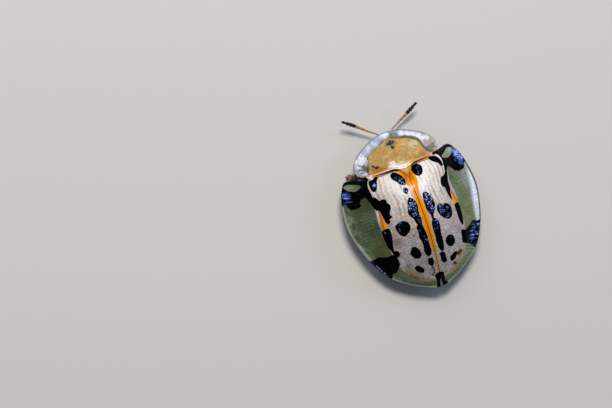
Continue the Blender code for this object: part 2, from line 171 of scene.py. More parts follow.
# Short names for the nodes used most: type, settings, the inputs that values go to in order, and the output
nodeKinds = {
    "mix": ("ShaderNodeMix", {"data_type": "RGBA"}, (0, 6, 7), 2),
    "ramp": ("ShaderNodeMapRange", {"interpolation_type": "SMOOTHSTEP"}, (0, 1, 2, 3, 4), 0),
    "mark": ("ShaderNodeAttribute", {}, (), "Fac"),
    "place": ("ShaderNodeTexCoord", {}, (), "Object"),
    "noise": ("ShaderNodeTexNoise", {}, ("Vector", "Scale", "Detail", "Roughness", "Distortion"), "Fac"),
    "cells": ("ShaderNodeTexVoronoi", {"feature": "DISTANCE_TO_EDGE"}, ("Vector", "Scale", "Randomness"), "Distance"),
    "chance": ("ShaderNodeTexWhiteNoise", {}, ("Vector",), "Value"),
    "vector": ("ShaderNodeCombineXYZ", {}, (0, 1, 2), 0),
    "bump": ("ShaderNodeBump", {}, ("Height", "Strength", "Distance"), 0),
}
for word in ("add", "subtract", "multiply", "multiply_add", "absolute", "fract", "floor", "round", "sqrt", "maximum"):
    nodeKinds[word] = ("ShaderNodeMath", {"operation": word.upper()}, (0, 1, 2), 0)


def feed(tree, node, given):
    # sets a node's inputs to numbers, hex colours or the sockets that feed them
    for key, value in given.items():
        if isinstance(value, bpy.types.NodeSocket):
            tree.links.new(value, node.inputs[key])
        else:
            isHex = isinstance(value, str) and value.startswith("#")
            node.inputs[key].default_value = hexColour(value) if isHex else value


def addNode(tree, kind, *values, output=0, **settings):
    # one node with its settings and its inputs, in order or as a dictionary. It gives back the output that is used.
    typeName, usual, order, output = nodeKinds.get(kind, (kind, {}, (), output))
    node = tree.nodes.new(typeName)
    for key, value in {**usual, **settings}.items():
        setattr(node, key, value)
    feed(tree, node, values[0] if values and isinstance(values[0], dict) else dict(zip(order, values)))
    return node.outputs[output]


# Wing-cases
wingCase = {
    "crest": ((4.8, 2.55), (4.3, 2.83), (3.9, 2.97), (3.6, 3.05), (2.2, 3.42), (0.9, 3.55), (-0.8, 3.38),
              (-2.4, 2.78), (-4.0, 1.86), (-5.75, 0.62)),
    "margin": ((4.4, 4.92), (4.75, 4.92), (5.02, 4.78), (5.22, 4.5), (5.58, 3.8), (5.88, 2.5), (6.0, 1.0), (5.75, -0.5),
               (5.15, -2.3), (4.2, -3.95), (2.85, -5.1), (1.45, -5.9), (0.6, -6.24), (0.14, -6.36)),
    "vaultEdge": ((3.35, 4.5), (3.72, 3.3), (3.42, 1.8), (3.62, -0.3), (3.45, -2.1), (2.9, -4.0), (1.75, -5.2),
                  (0.1, -5.84)),
    "vaultEdgeRise": (1.62, 1.45, 1.3, 1.32, 1.25, 1.0, 0.72, 0.55),
    "baseLine": ((0.02, 3.42), (0.22, 3.72), (0.48, 4.22), (0.8, 4.46), (1.6, 4.58), (2.7, 4.66), (3.35, 4.74)),
    "seamBack": -5.6,
    "seamGap": 0.005,
    "vaultPower": 1.3,
    "marginHollow": 0.12,
    "wall": 0.14,
    "rows": 290, "vaultColumns": 122, "marginColumns": 48,
    "striae": 10,             # rows of punctures from the seam to the vault's edge
    "punctureSpacing": 0.27, "punctureDepth": 0.03,
    "rowShift": 7.31, "rowWander": 0.5,      # where each row starts and how far it strays, in spacings
    "pitNarrowing": 1.5, "pitSize": 0.3,     # a puncture's form, in spacings
    "creamDepth": 0.25, "rearDepth": 0.4,    # its depth on cream as a share, and how much it gains to the rear
    "shoulderRidge": ((2.95, 4.5), (3.3, 4.25), (3.44, 3.9), (3.47, 3.5), (3.42, 3.05)),
    "ridgeHeight": 0.05, "ridgeWidth": 0.09,
    "shoulderBump": (2.95, 3.7, 0.42, 0.6, 0.1),      # right, forward, half-width, half-length, height
    "ribs": 46, "ribHeight": 0.014, "ribWander": 0.35,      # ribs across the flat margin
    "marginWidth": 2.2,       # distance that counts from the vault's edge to the rim
    "rimWall": 0.1,           # how much thicker the wall gets at the rim
    # the orange-brown strip along the base lies in front of this line
    "baseStrip": ((0.3, 3.78), (0.45, 4.0), (0.75, 4.22), (1.1, 4.3), (1.6, 4.31), (2.2, 4.3), (2.7, 4.36), (3.3, 4.56),
                  (6.2, 5.6)),
}


def wingCasePoints(lengthwise, crosswise):
    # places on the top of the right wing-case: lengthwise 0 to 1, crosswise 0 at the seam, 1 at the vault's
    # edge and 2 at the rim; returns right, forward, height
    s = wingCase
    edgeStations = [(x, y, rise) for (x, y), rise in zip(s["vaultEdge"], s["vaultEdgeRise"])]
    edge = curveThrough(edgeStations, lengthwise)
    rim = curveThrough(s["margin"], lengthwise)
    inner = np.clip(crosswise, 0, 1)
    outer = np.clip(crosswise - 1, 0, 1)
    seamFront = s["baseLine"][0][1]
    seamForward = seamFront + (s["seamBack"] - seamFront) * lengthwise
    base = curveThrough(s["baseLine"], inner)
    start = np.array([s["seamGap"], seamFront])
    straight = start + (np.array(s["vaultEdge"][0]) - start) * inner[..., None]
    bow = (base - straight) * ((1 - lengthwise) ** 5)[..., None]
    vaultRight = s["seamGap"] + (edge[..., 0] - s["seamGap"]) * inner + bow[..., 0]
    vaultForward = seamForward + (edge[..., 1] - seamForward) * inner + bow[..., 1]
    crown = along(s["crest"], vaultForward)
    vaultRise = edge[..., 2] + (crown - edge[..., 2]) * np.clip(1 - inner ** 2, 0, 1) ** s["vaultPower"]
    right = vaultRight + (rim[..., 0] - vaultRight) * outer
    forward = vaultForward + (rim[..., 1] - vaultForward) * outer
    marginRise = edge[..., 2] * (1 - outer) - s["marginHollow"] * np.sin(np.pi * outer)
    rise = np.where(crosswise <= 1, vaultRise, marginRise)
    return right, forward, plan["rimHeight"] + rise


# Markings on the wing-cases: each is the outline of one mark, right and forward in mm, one list a side as they differ
markOutlines = {
    "right": {
        "shoulderSpot": ((0.9, 4.28), (1.22, 4.22), (1.42, 3.98), (1.43, 3.68), (1.25, 3.38), (0.95, 3.25),
                         (0.68, 3.38), (0.5, 3.68), (0.48, 3.98), (0.64, 4.2)),
        "frontBar": ((0.74, 1.77), (0.98, 1.67), (1.14, 1.4), (1.24, 0.93), (1.27, 0.53), (1.19, 0.23), (1.02, 0.0),
                     (0.82, -0.25), (0.7, -0.55), (0.6, -0.55), (0.58, -0.25), (0.46, 0.1), (0.38, 0.47),
                     (0.41, 0.87), (0.45, 1.33), (0.56, 1.67)),
        "backBar": ((0.66, -0.5), (0.92, -0.73), (1.07, -1.09), (1.02, -1.59), (0.95, -2.09), (0.95, -2.66),
                    (0.87, -3.23), (0.74, -3.48), (0.54, -3.37), (0.41, -2.94), (0.37, -2.51), (0.41, -2.01),
                    (0.36, -1.51), (0.42, -1.01), (0.54, -0.7)),
        "heart": ((1.63, 0.38), (1.85, 0.31), (1.98, 0.1), (2.12, 0.2), (2.37, 0.22), (2.62, 0.02), (2.7, -0.25),
                  (2.67, -0.6), (2.5, -0.94), (2.18, -1.09), (1.86, -0.98), (1.57, -0.73), (1.37, -0.44),
                  (1.3, -0.1), (1.38, 0.22)),
        "roundBack": ((1.66, -2.42), (1.95, -2.52), (2.09, -2.86), (1.98, -3.22), (1.68, -3.37), (1.37, -3.26),
                      (1.21, -2.95), (1.32, -2.58)),
        "innerTip": ((0.39, -3.62), (0.64, -3.57), (0.82, -3.73), (0.86, -4.09), (0.87, -4.41), (0.68, -4.48),
                     (0.5, -4.41), (0.37, -4.16), (0.43, -3.87)),
        "outerTip": ((1.96, -3.98), (2.0, -4.12), (1.79, -4.37), (1.57, -4.55), (1.36, -4.6), (1.24, -4.48),
                     (1.3, -4.23), (1.54, -4.09), (1.79, -3.98)),
        "crescent": ((2.4, 4.42), (2.75, 4.42), (3.1, 4.26), (3.32, 3.98), (3.42, 3.65), (3.4, 3.35), (3.24, 3.38),
                     (3.12, 3.62), (2.92, 3.82), (2.65, 3.98), (2.45, 4.2)),
        "edgeBand": ((3.0, 2.47), (3.23, 2.5), (3.48, 2.75), (3.56, 2.5), (3.47, 2.2), (3.4, 1.87), (3.37, 1.33),
                     (3.23, 0.87), (3.14, 0.4), (3.07, 0.35), (3.0, 0.6), (2.93, 1.07), (2.9, 1.5), (2.7, 1.73),
                     (2.66, 2.0), (2.8, 2.32)),
        "edgeBar": ((3.25, -0.13), (3.58, -0.13), (3.63, -0.59), (3.57, -1.09), (3.5, -1.51), (3.39, -1.87),
                    (3.28, -1.99), (3.17, -1.73), (3.13, -1.3), (3.15, -0.73), (3.12, -0.41)),
        "shoulderPatch": ((2.87, 4.52), (3.17, 4.5), (3.43, 4.24), (3.54, 3.87), (3.53, 3.3), (3.47, 2.85),
                          (3.55, 2.5), (3.62, 2.73), (3.73, 3.03), (3.97, 3.15), (4.1, 3.03), (4.27, 2.83),
                          (4.5, 2.6), (4.83, 2.43), (5.17, 2.47), (5.37, 2.53), (5.63, 3.0), (6.3, 3.2),
                          (6.2, 4.9), (4.6, 5.3), (3.6, 5.1), (3.1, 4.8)),
        "hindPatch": ((3.0, -2.42), (3.45, -2.55), (3.79, -2.39), (4.14, -2.23), (4.43, -2.03), (4.79, -2.18),
                      (5.5, -2.4), (5.3, -4.3), (4.1, -4.4), (3.79, -4.09), (3.57, -3.87), (3.29, -3.69),
                      (3.0, -3.55), (2.8, -3.41), (2.85, -3.09), (2.92, -2.7)),
        "tipPatch": ((-0.3, -5.22), (0.28, -5.22), (0.34, -5.45), (0.34, -5.8), (0.42, -6.1), (0.62, -6.3), (0.7, -6.6),
                     (-0.3, -6.6)),
    },
    "left": {
        "shoulderSpot": ((1.27, 4.2), (1.0, 4.22), (0.67, 3.95), (0.46, 3.53), (0.44, 3.13), (0.57, 2.92),
                         (0.87, 3.1), (1.12, 3.47), (1.33, 3.77), (1.38, 4.03)),
        "smallSpot": ((0.7, 2.7), (0.86, 2.6), (0.9, 2.42), (0.76, 2.2), (0.64, 2.2), (0.52, 2.4), (0.54, 2.6)),
        "longBar": ((0.67, 1.75), (0.47, 1.63), (0.29, 1.27), (0.27, 0.87), (0.34, 0.53), (0.38, 0.15),
                    (0.35, -0.25), (0.41, -0.55), (0.43, -0.8), (0.35, -1.23), (0.3, -1.87), (0.32, -2.51),
                    (0.29, -3.0), (0.36, -3.38), (0.56, -3.48), (0.77, -3.3), (0.84, -2.94), (0.8, -2.51),
                    (0.84, -2.09), (0.94, -1.73), (0.9, -1.23), (0.94, -0.9), (0.79, -0.66), (0.84, -0.37),
                    (0.93, 0.0), (1.08, 0.25), (1.17, 0.55), (1.08, 0.9), (0.97, 1.27), (0.82, 1.6)),
        "roundMiddle": ((2.41, -0.09), (1.99, 0.1), (1.63, 0.0), (1.4, -0.34), (1.45, -0.73), (1.7, -1.01),
                        (1.99, -1.17), (2.27, -0.98), (2.43, -0.59), (2.46, -0.3)),
        "roundBack": ((1.63, -2.31), (1.41, -2.44), (1.21, -2.8), (1.18, -3.16), (1.38, -3.37), (1.7, -3.26),
                      (1.91, -3.01), (1.97, -2.76), (1.81, -2.44)),
        "innerTip": ((0.52, -3.69), (0.35, -3.8), (0.31, -4.16), (0.45, -4.39), (0.66, -4.26), (0.76, -4.01),
                     (0.69, -3.76)),
        "outerTip": ((1.91, -4.01), (1.7, -3.94), (1.41, -4.19), (1.24, -4.44), (1.34, -4.67), (1.63, -4.55),
                     (1.88, -4.3)),
        "eyespot": ((3.1, 4.28), (2.8, 4.28), (2.5, 4.44), (2.38, 4.32), (2.56, 4.05), (2.66, 3.72), (2.8, 3.44),
                    (2.98, 3.29), (3.14, 3.36), (3.21, 3.7), (3.21, 4.05)),
        "edgeBand": ((3.62, 3.13), (3.33, 2.87), (3.07, 2.7), (2.88, 2.36), (2.67, 2.43), (2.46, 2.33),
                     (2.4, 2.0), (2.25, 1.73), (2.3, 1.47), (2.47, 1.2), (2.55, 0.9), (2.42, 0.76), (2.68, 0.62),
                     (2.7, 0.45), (2.77, 0.3), (2.93, 0.33), (3.0, 0.53), (3.03, 0.87), (3.07, 1.27),
                     (3.12, 1.6), (3.34, 1.75), (3.44, 1.98), (3.53, 2.3), (3.64, 2.68), (3.76, 3.03)),
        "edgeBar": ((3.49, -0.12), (2.99, -0.12), (2.95, -0.59), (3.02, -1.16), (3.12, -1.66), (3.14, -2.08),
                    (2.88, -2.2), (2.81, -2.51), (2.98, -2.67), (3.16, -2.5), (3.28, -2.3), (3.33, -2.0),
                    (3.49, -1.59), (3.54, -1.01), (3.56, -0.51)),
        "shoulderPatch": ((3.15, 4.5), (3.27, 4.27), (3.37, 4.0), (3.4, 3.53), (3.34, 3.0), (3.5, 2.75),
                          (3.7, 3.03), (3.93, 3.12), (4.2, 3.03), (4.37, 2.8), (4.4, 2.53), (4.7, 2.45),
                          (5.2, 2.53), (5.33, 2.8), (5.47, 3.0), (5.63, 3.07), (6.3, 3.2), (6.2, 4.9),
                          (4.6, 5.3), (3.6, 5.1)),
        "hindPatch": ((5.5, -2.3), (4.9, -2.22), (4.41, -2.16), (4.06, -2.3), (3.7, -2.36), (3.34, -2.36),
                      (3.12, -2.66), (3.04, -3.09), (3.07, -3.37), (3.27, -3.62), (3.41, -3.84), (3.77, -3.94),
                      (4.1, -4.4), (5.3, -4.3)),
        "tipPatch": ((-0.3, -5.22), (0.36, -5.22), (0.42, -5.45), (0.38, -5.8), (0.38, -6.1), (0.5, -6.35),
                     (0.55, -6.6), (-0.3, -6.6)),
    },
}
windowOutlines = {   # the clear windows in the black shoulder patches
    "right": ((3.6, 4.05), (3.77, 4.23), (4.1, 4.4), (4.43, 4.65), (4.77, 4.7), (4.98, 4.53), (4.96, 4.27),
              (4.77, 4.07), (4.57, 3.9), (4.23, 3.8), (3.85, 3.87)),
    "left": ((5.08, 4.65), (4.77, 4.68), (4.4, 4.55), (4.02, 4.33), (3.82, 4.17), (3.93, 3.97), (4.27, 3.85),
             (4.67, 3.95), (5.0, 4.2), (5.14, 4.47)),
}
orangeOutlines = {
    "right": (((3.5, 1.72), (3.56, 1.2), (3.9, 0.6), (3.9, -0.1), (3.22, -0.08), (3.23, 0.35), (3.25, 0.75),
               (3.38, 1.2)),
              ((-0.5, 4.9), (0.75, 4.9), (0.68, 3.9), (0.62, 3.3), (0.58, 2.85), (0.4, 2.35), (0.3, 2.0),
               (0.33, 1.2), (0.34, 0.2), (0.33, -0.6), (0.3, -1.5), (0.24, -2.4), (0.17, -3.2), (0.08, -4.2),
               (0.05, -5.3), (-0.5, -5.3))),
    "left": (((3.3, 1.95), (3.55, 1.8), (3.7, 1.2), (3.8, 0.9), (3.9, -0.1), (3.04, -0.08), (3.06, 0.53), (3.08, 0.87),
              (3.11, 1.47)),
             ((-0.5, 4.9), (0.75, 4.9), (0.62, 3.8), (0.5, 3.3), (0.42, 2.9), (0.26, 2.35), (0.24, 2.0),
              (0.27, 1.2), (0.31, 0.2), (0.31, -0.6), (0.28, -1.5), (0.24, -2.4), (0.16, -3.2), (0.08, -4.2),
              (0.05, -5.3), (-0.5, -5.3))),
}
# Rust-brown specks and a stain line near the back of the vault: right, forward and radius in mm, strength
stains = {
    "right": ((2.08, -4.22, 0.14, 1.2), (2.22, -4.14, 0.15, 1.6), (2.36, -4.06, 0.13, 1.4), (2.6, -4.15, 0.1, 0.5),
              (1.55, -4.87, 0.13, 1.4), (1.68, -4.98, 0.08, 0.9), (1.93, -5.12, 0.11, 0.9), (2.1, -5.2, 0.08, 0.7),
              (1.7, -5.3, 0.12, 0.5), (1.3, -5.45, 0.14, 0.5), (0.75, -4.5, 0.08, 0.6), (0.6, -4.9, 0.08, 0.35),
              (1.1, -5.3, 0.16, 0.35), (2.2, -4.9, 0.2, 0.3), (2.65, -4.45, 0.16, 0.3), (0.55, -5.3, 0.16, 0.35)),
    "left": ((2.99, -4.05, 0.14, 0.6), (2.85, -4.2, 0.14, 0.8), (2.7, -4.35, 0.14, 0.75), (2.5, -4.5, 0.14, 0.8),
             (2.35, -4.65, 0.13, 0.85), (2.15, -4.82, 0.12, 1.0), (1.98, -5.0, 0.12, 1.3), (1.8, -5.12, 0.1, 0.7),
             (1.5, -5.2, 0.1, 0.5), (1.2, -5.35, 0.12, 0.4), (0.5, -4.55, 0.12, 0.9), (0.42, -4.8, 0.12, 0.8),
             (0.6, -5.15, 0.1, 1.2), (0.45, -5.0, 0.1, 0.9), (0.35, -4.65, 0.1, 0.5), (1.35, -1.42, 0.1, 0.75),
             (1.2, -1.3, 0.08, 0.4), (1.1, -5.3, 0.15, 0.4), (0.85, -5.0, 0.12, 0.4), (2.5, 0.86, 0.09, 0.7)),
}
# Painted highlights where the cream is whitened, and painted shade where it is dulled: right, forward and radius in mm,
# strength
paintedLightAndShade = {
    "glare": {"right": ((1.0, 2.5, 0.7, 0.7), (1.5, 3.0, 0.6, 0.6), (2.5, 3.1, 0.5, 0.35), (0.75, -2.9, 0.5, 0.25),
                        (1.5, -1.6, 0.5, 0.45)),
              "left": ((1.05, 2.4, 0.5, 1.0), (1.45, 2.9, 0.55, 0.8), (1.7, 3.4, 0.5, 0.6), (1.3, 1.7, 0.4, 0.5),
                       (2.35, 3.25, 0.45, 0.45), (1.4, 0.4, 0.2, 0.3))},
    "dull": {"right": ((2.5, 1.4, 0.5, 0.5), (2.9, 2.6, 0.4, 0.3), (2.9, -2.0, 0.4, 0.3), (2.9, -3.7, 0.4, 0.3)),
             "left": ((1.75, 1.1, 0.4, 0.5), (1.4, 0.35, 0.4, 0.25), (2.75, -1.5, 0.5, 0.8), (2.4, -3.8, 0.5, 0.7),
                      (2.9, -2.6, 0.4, 0.6), (2.6, 2.6, 0.4, 0.3))},
}
# Painted reflections: where the black is painted with a blue sky reflection, and where the front of the orange stripe
# is painted pinkish white: right, forward and radius in mm, strength
paintedReflectionSpots = {
    "right": ((5.2, 3.95, 0.42, 1.0), (5.4, 3.45, 0.36, 0.95), (5.0, 4.3, 0.3, 0.8), (5.3, 3.05, 0.3, 0.65),
              (4.95, 3.4, 0.22, 0.5), (4.45, -2.35, 0.34, 1.0), (4.8, -2.55, 0.3, 1.0), (4.2, -2.75, 0.4, 1.1),
              (4.45, -3.1, 0.34, 1.0), (3.85, -3.25, 0.38, 1.05), (3.7, -3.65, 0.34, 0.9), (4.05, -3.75, 0.34, 0.8),
              (3.45, -3.45, 0.2, 0.5), (0.75, 1.35, 0.4, 1.2), (0.85, 0.75, 0.42, 1.15), (0.9, 0.2, 0.36, 0.95),
              (1.05, 1.0, 0.3, 0.9), (1.66, 0.1, 0.26, 1.25), (1.9, -0.3, 0.36, 0.75), (2.1, -0.72, 0.34, 0.7),
              (1.6, -0.35, 0.25, 0.6), (2.35, -0.1, 0.24, 0.5), (0.8, -0.95, 0.34, 0.7), (0.7, -1.6, 0.36, 0.5),
              (1.0, 3.5, 0.24, 0.7), (1.1, 3.95, 0.24, 0.6), (0.1, -5.45, 0.25, 0.35), (1.7, -2.75, 0.2, 0.5),
              (0.0, 2.6, 0.26, 0.75), (0.14, 2.2, 0.14, 0.4)),
    "left": ((5.25, 3.72, 0.44, 0.9), (5.05, 3.3, 0.32, 0.7), (5.45, 3.25, 0.3, 0.7), (4.3, 3.6, 0.22, 0.35),
             (3.75, 4.66, 0.14, 0.55), (3.5, 4.52, 0.12, 0.45), (2.88, 3.8, 0.22, 1.6),
             (0.75, 3.4, 0.3, 0.95), (0.6, 3.1, 0.24, 1.0), (0.95, 3.75, 0.3, 0.6), (0.7, 2.45, 0.24, 1.15),
             (0.5, 1.3, 0.36, 1.2), (0.75, 0.95, 0.36, 1.0), (0.45, 0.7, 0.3, 1.0), (0.8, 0.35, 0.36, 0.7),
             (0.45, -0.3, 0.34, 0.8), (0.5, -1.95, 0.3, 0.85), (0.7, -1.2, 0.3, 0.45), (2.1, 0.0, 0.25, 0.5),
             (2.3, -0.5, 0.25, 0.45), (3.3, -0.3, 0.2, 0.4), (0.14, 2.62, 0.36, 0.85), (0.3, 2.3, 0.24, 0.7),
             (0.4, 2.85, 0.18, 0.5)),
}
markSizes = {
    "beyond": 9.0,           # distance given to places far from every mark
    "edgeWobble": 0.014, "wobbleSize": 0.3, "rimWidth": 0.16,
    "vaultScale": (3.4, 2.2), "vaultShift": {"right": -0.06, "left": 0.09},
    "orangeInset": 0.06,     # how far the orange stripe stays inside the vault's edge
    # the right side's dark rim is painted shadow
    "rimDarknessAndShadow": 0.85, "rimDarkEnd": -2.5,      # along the right side in front of the hind patch
    # milky band inside the rim, painted much wider on the right where it stands for a reflection: how far it reaches in
    # from the rim at each place from front to back, in mm
    "milkyBand": {
        "right": ((-3.15, -2.9, -2.5, -2.0, -1.0, 0.0, 1.0, 2.0, 2.3, 2.6),
                  (0.1, 0.26, 0.36, 0.5, 0.7, 0.84, 0.88, 0.74, 0.5, 0)),
        "left": ((-2.9, -2.0, 0.0, 0.8, 1.6, 2.4, 3.7, 4.0), (0.14, 0.2, 0.2, 0.28, 0.3, 0.24, 0.22, 0.1)),
    },
    "milkySoftness": {"right": 0.3, "left": 0.2},
    "milkyGap": 0.1,         # clear strip between the band and the rim
    # the clear windows are painted milky, paler on the right, with a painted highlight at their palest place
    "windowMilkAndHighlight": {"right": 0.25, "left": 0.04},
    "windowShine": (4.85, 4.5, 0.35, 0.3),       # right, forward, half-width and half-length of its palest place
    # painted reflection, a blue line inside the rim of the black hind patch: side, start, end, distance, half-width,
    # strength
    "rimGlint": ("left", 2.0, 4.0, 0.17, 0.08, 1.42),
    # painted shade on the clear margin, over the leaf seen through it: how dark and deep green it is at each place from
    # front to back
    "deep": {"right": ((-5.0, -3.4, -2.0, 0.0, 3.0, 4.3, 5.0, 6.0), (0.0, 0.1, 0.45, 0.35, 0.35, 0.4, 0.7, 1.0)),
             "left": ((-5.0, -3.6, -2.8, -1.5, 0.5, 1.5, 4.0, 6.0), (0.4, 0.6, 0.95, 1.0, 1.0, 0.8, 1.0, 1.0))},
}


def closedCurve(outline, steps=7):
    # a smooth ring of points through an outline
    here = np.asarray(outline, float)
    before, after, second = (np.roll(here, k, axis=0) for k in (1, -1, -2))
    t = np.linspace(0, 1, steps, endpoint=False)[:, None, None]
    ring = 0.5 * (2 * here + (after - before) * t + (2 * before - 5 * here + 4 * after - second) * t ** 2
                  + (3 * here - before - 3 * after + second) * t ** 3)
    return ring.transpose(1, 0, 2).reshape(-1, 2)


def outlineDistance(right, forward, outline, reach=0.5):
    # signed distance in mm to a mark's edge, negative inside it, worked out only near the mark
    ring = closedCurve(outline)
    distance = np.full(right.shape, markSizes["beyond"])
    low, high = ring.min(0) - reach, ring.max(0) + reach
    near = (right > low[0]) & (right < high[0]) & (forward > low[1]) & (forward < high[1])
    x, y = right[near][:, None], forward[near][:, None]
    start, end = ring, np.roll(ring, -1, axis=0)
    step = end - start
    share = ((x - start[:, 0]) * step[:, 0] + (y - start[:, 1]) * step[:, 1]) / np.maximum((step ** 2).sum(1), 1e-12)
    share = np.clip(share, 0, 1)
    gap = np.hypot(x - start[:, 0] - share * step[:, 0], y - start[:, 1] - share * step[:, 1]).min(1)
    crosses = ((start[:, 1] > y) != (end[:, 1] > y)) & (
        x < step[:, 0] * (y - start[:, 1]) / np.where(step[:, 1] == 0, 1e-12, step[:, 1]) + start[:, 0])
    inside = crosses.sum(1) % 2 == 1
    distance[near] = np.where(inside, -gap, gap)
    return distance


def nearestDistance(right, forward, outlines):
    return np.minimum.reduce([outlineDistance(right, forward, outline) for outline in outlines])


def wingCaseMarks(side, right, forward, crosswise):
    # signed distances in mm, negative inside, to the black and the orange parts and the vault's edge
    m = markSizes
    wobble = m["edgeWobble"] * ripple(right, forward, m["wobbleSize"], 3 if side == "left" else 8)
    black = nearestDistance(right, forward, markOutlines[side].values())
    black = np.maximum(black, -outlineDistance(right, forward, windowOutlines[side]))
    vault = (crosswise - 1) * np.where(crosswise < 1, *m["vaultScale"])
    vault = vault + m["vaultShift"][side] * np.clip((forward + 3) / 2, 0, 1)
    orange = np.maximum(nearestDistance(right, forward, orangeOutlines[side]), vault + m["orangeInset"])
    return black + wobble, orange + wobble, vault


def rimDarknessAndShadow(side, right, forward):
    # the rim is dark beside the black patches, and painted with shadow all along the right side in front of the hind
    # patch
    patches = [markOutlines[side][key] for key in ("shoulderPatch", "hindPatch", "tipPatch")]
    beside = np.clip(0.5 - nearestDistance(right, forward, patches) / 0.1, 0, 1)
    return np.maximum(beside, markSizes["rimDarknessAndShadow"] * (side == "right") * (forward > markSizes["rimDarkEnd"]))


def blobs(right, forward, spots, fade=2):
    # the strength at each place of a list of soft round spots
    total = np.zeros(right.shape)
    for x, y, radius, strength in spots:
        reach = np.hypot(right - x, forward - y) / radius
        total = np.maximum(total, strength * np.exp(-reach ** fade))
    return total


def wingCaseRelief(height, right, forward, lengthwise, crosswise, black):
    # adds what stands out of the smooth form; returns the height, the place across and along the rows of
    # punctures, and the place among the ribs
    s = wingCase
    # punctures in rows: each row starts at its own place and wanders, and the strip beside the seam has none
    row = crosswise * s["striae"]
    whole = np.floor(row)
    wander = s["rowWander"] * ripple(whole * 3.7, forward, 0.9, 2)
    step = (forward - s["seamBack"]) / s["punctureSpacing"] + s["rowShift"] * whole % 1 + wander
    pit = np.hypot((row % 1 - 0.5) * s["pitNarrowing"], step % 1 - 0.5)
    inRows = np.clip((1 - crosswise) * 12, 0, 1) * np.clip(lengthwise * 20, 0, 1) * (row >= 1)
    rear = np.clip((1.5 - forward) / 4, 0, 1)
    depth = s["punctureDepth"] * np.where(black < 0, 1, s["creamDepth"] + s["rearDepth"] * rear)
    height = height - depth * bell(pit / s["pitSize"]) * inRows
    # the ridge and the bump on the shoulder
    ridge = curveThrough(s["shoulderRidge"], np.linspace(0, 1, 60))
    away = np.full(right.shape, markSizes["beyond"])
    near = (right > 2.3) & (forward > 2.5)
    away[near] = np.hypot(right[near][:, None] - ridge[:, 0], forward[near][:, None] - ridge[:, 1]).min(1)
    height = height + s["ridgeHeight"] * bell(away / s["ridgeWidth"])
    x, y, wide, long, high = s["shoulderBump"]
    height = height + high * bell((right - x) / wide, (forward - y) / long)
    # fine ribs run across the flat margin to the rim
    rimShare = np.clip(crosswise - 1, 0, 1)
    onMargin = np.clip(rimShare * 4, 0, 1) * np.clip((1 - rimShare) * 6, 0, 1)
    rib = lengthwise * s["ribs"] + s["ribWander"] * ripple(right, forward, 1.4, 6)
    wave = np.sin(2 * np.pi * rib) + 0.5 * np.sin(4.6 * np.pi * rib + 2 * ripple(right, forward, 0.9, 3))
    height = height + s["ribHeight"] * wave * onMargin * np.where(black < 0.05, 1.5, 0.5)
    return height, row, step, rib


def milkiness(side, right, forward, rimDistance):
    # 1 in the milky band along the rim, partly a painted reflection, and a little of it, with a painted highlight, in
    # the clear window of the shoulder patch
    m = markSizes
    inner = np.interp(-forward, *m["milkyBand"][side])
    milky = np.clip((inner - rimDistance) / m["milkySoftness"][side], 0, 1)
    milky = milky * np.clip((rimDistance - m["milkyGap"]) / 0.06, 0, 1)
    window = np.clip(-outlineDistance(right, forward, windowOutlines[side]) / 0.08, 0, 1)
    x, y, wide, long = m["windowShine"]
    paler = 0.3 + 1.4 * bell((right - x) / wide, (forward - y) / long)
    return np.maximum(milky, m["windowMilkAndHighlight"][side] * window * paler)


def paintedReflectionStrength(side, right, forward, rimDistance):
    # soft spots of painted reflection, and on one side a painted blue line inside the rim
    sheen = blobs(right, forward, paintedReflectionSpots[side], 3)
    glintSide, start, end, inside, wide, strength = markSizes["rimGlint"]
    if side == glintSide:
        onLine = bell((rimDistance - inside) / wide) * (-forward > start) * (-forward < end)
        sheen = np.maximum(sheen, strength * onLine)
    return sheen


def makeWingCase(side, finish):
    s = wingCase
    rows = np.linspace(0, 1, s["rows"])
    columns = np.concatenate([np.linspace(0, 1, s["vaultColumns"]), 1 + np.linspace(0, 1, s["marginColumns"] + 1)[1:]])
    lengthwise, crosswise = np.meshgrid(rows, columns, indexing="ij")
    right, forward, height = wingCasePoints(lengthwise, crosswise)
    black, orange, vault = wingCaseMarks(side, right, forward, crosswise)
    height, row, step, rib = wingCaseRelief(height, right, forward, lengthwise, crosswise, black)
    sign = -1 if side == "left" else 1
    top = place(sign * right, forward, height)
    rimDistance = (1 - np.clip(crosswise - 1, 0, 1)) * s["marginWidth"]
    wall = s["wall"] + s["rimWall"] * np.clip(1 - rimDistance / markSizes["rimWidth"], 0, 1)
    marks = {
        "blackEdge": black, "orangeEdge": orange, "vaultEdge": vault, "stria": row, "alongStria": step, "rib": rib,
        "milky": milkiness(side, right, forward, rimDistance), "rimDistance": rimDistance,
        "forward": forward, "fromSeam": right, "stain": blobs(right, forward, stains[side]),
        "sheen": paintedReflectionStrength(side, right, forward, rimDistance),
        "tone": blobs(right, forward, paintedLightAndShade["glare"][side]) - blobs(right, forward, paintedLightAndShade["dull"][side]),
        "baseEdge": along(s["baseStrip"], right) - forward, "deep": np.interp(-forward, *markSizes["deep"][side]),
        "rimDark": rimDarknessAndShadow(side, right, forward)}
    piece = platePiece("elytron" + side.capitalize(), top, wall[..., None], marks, finish)
    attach(piece, "root")
    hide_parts("elytron_" + side)
    return piece


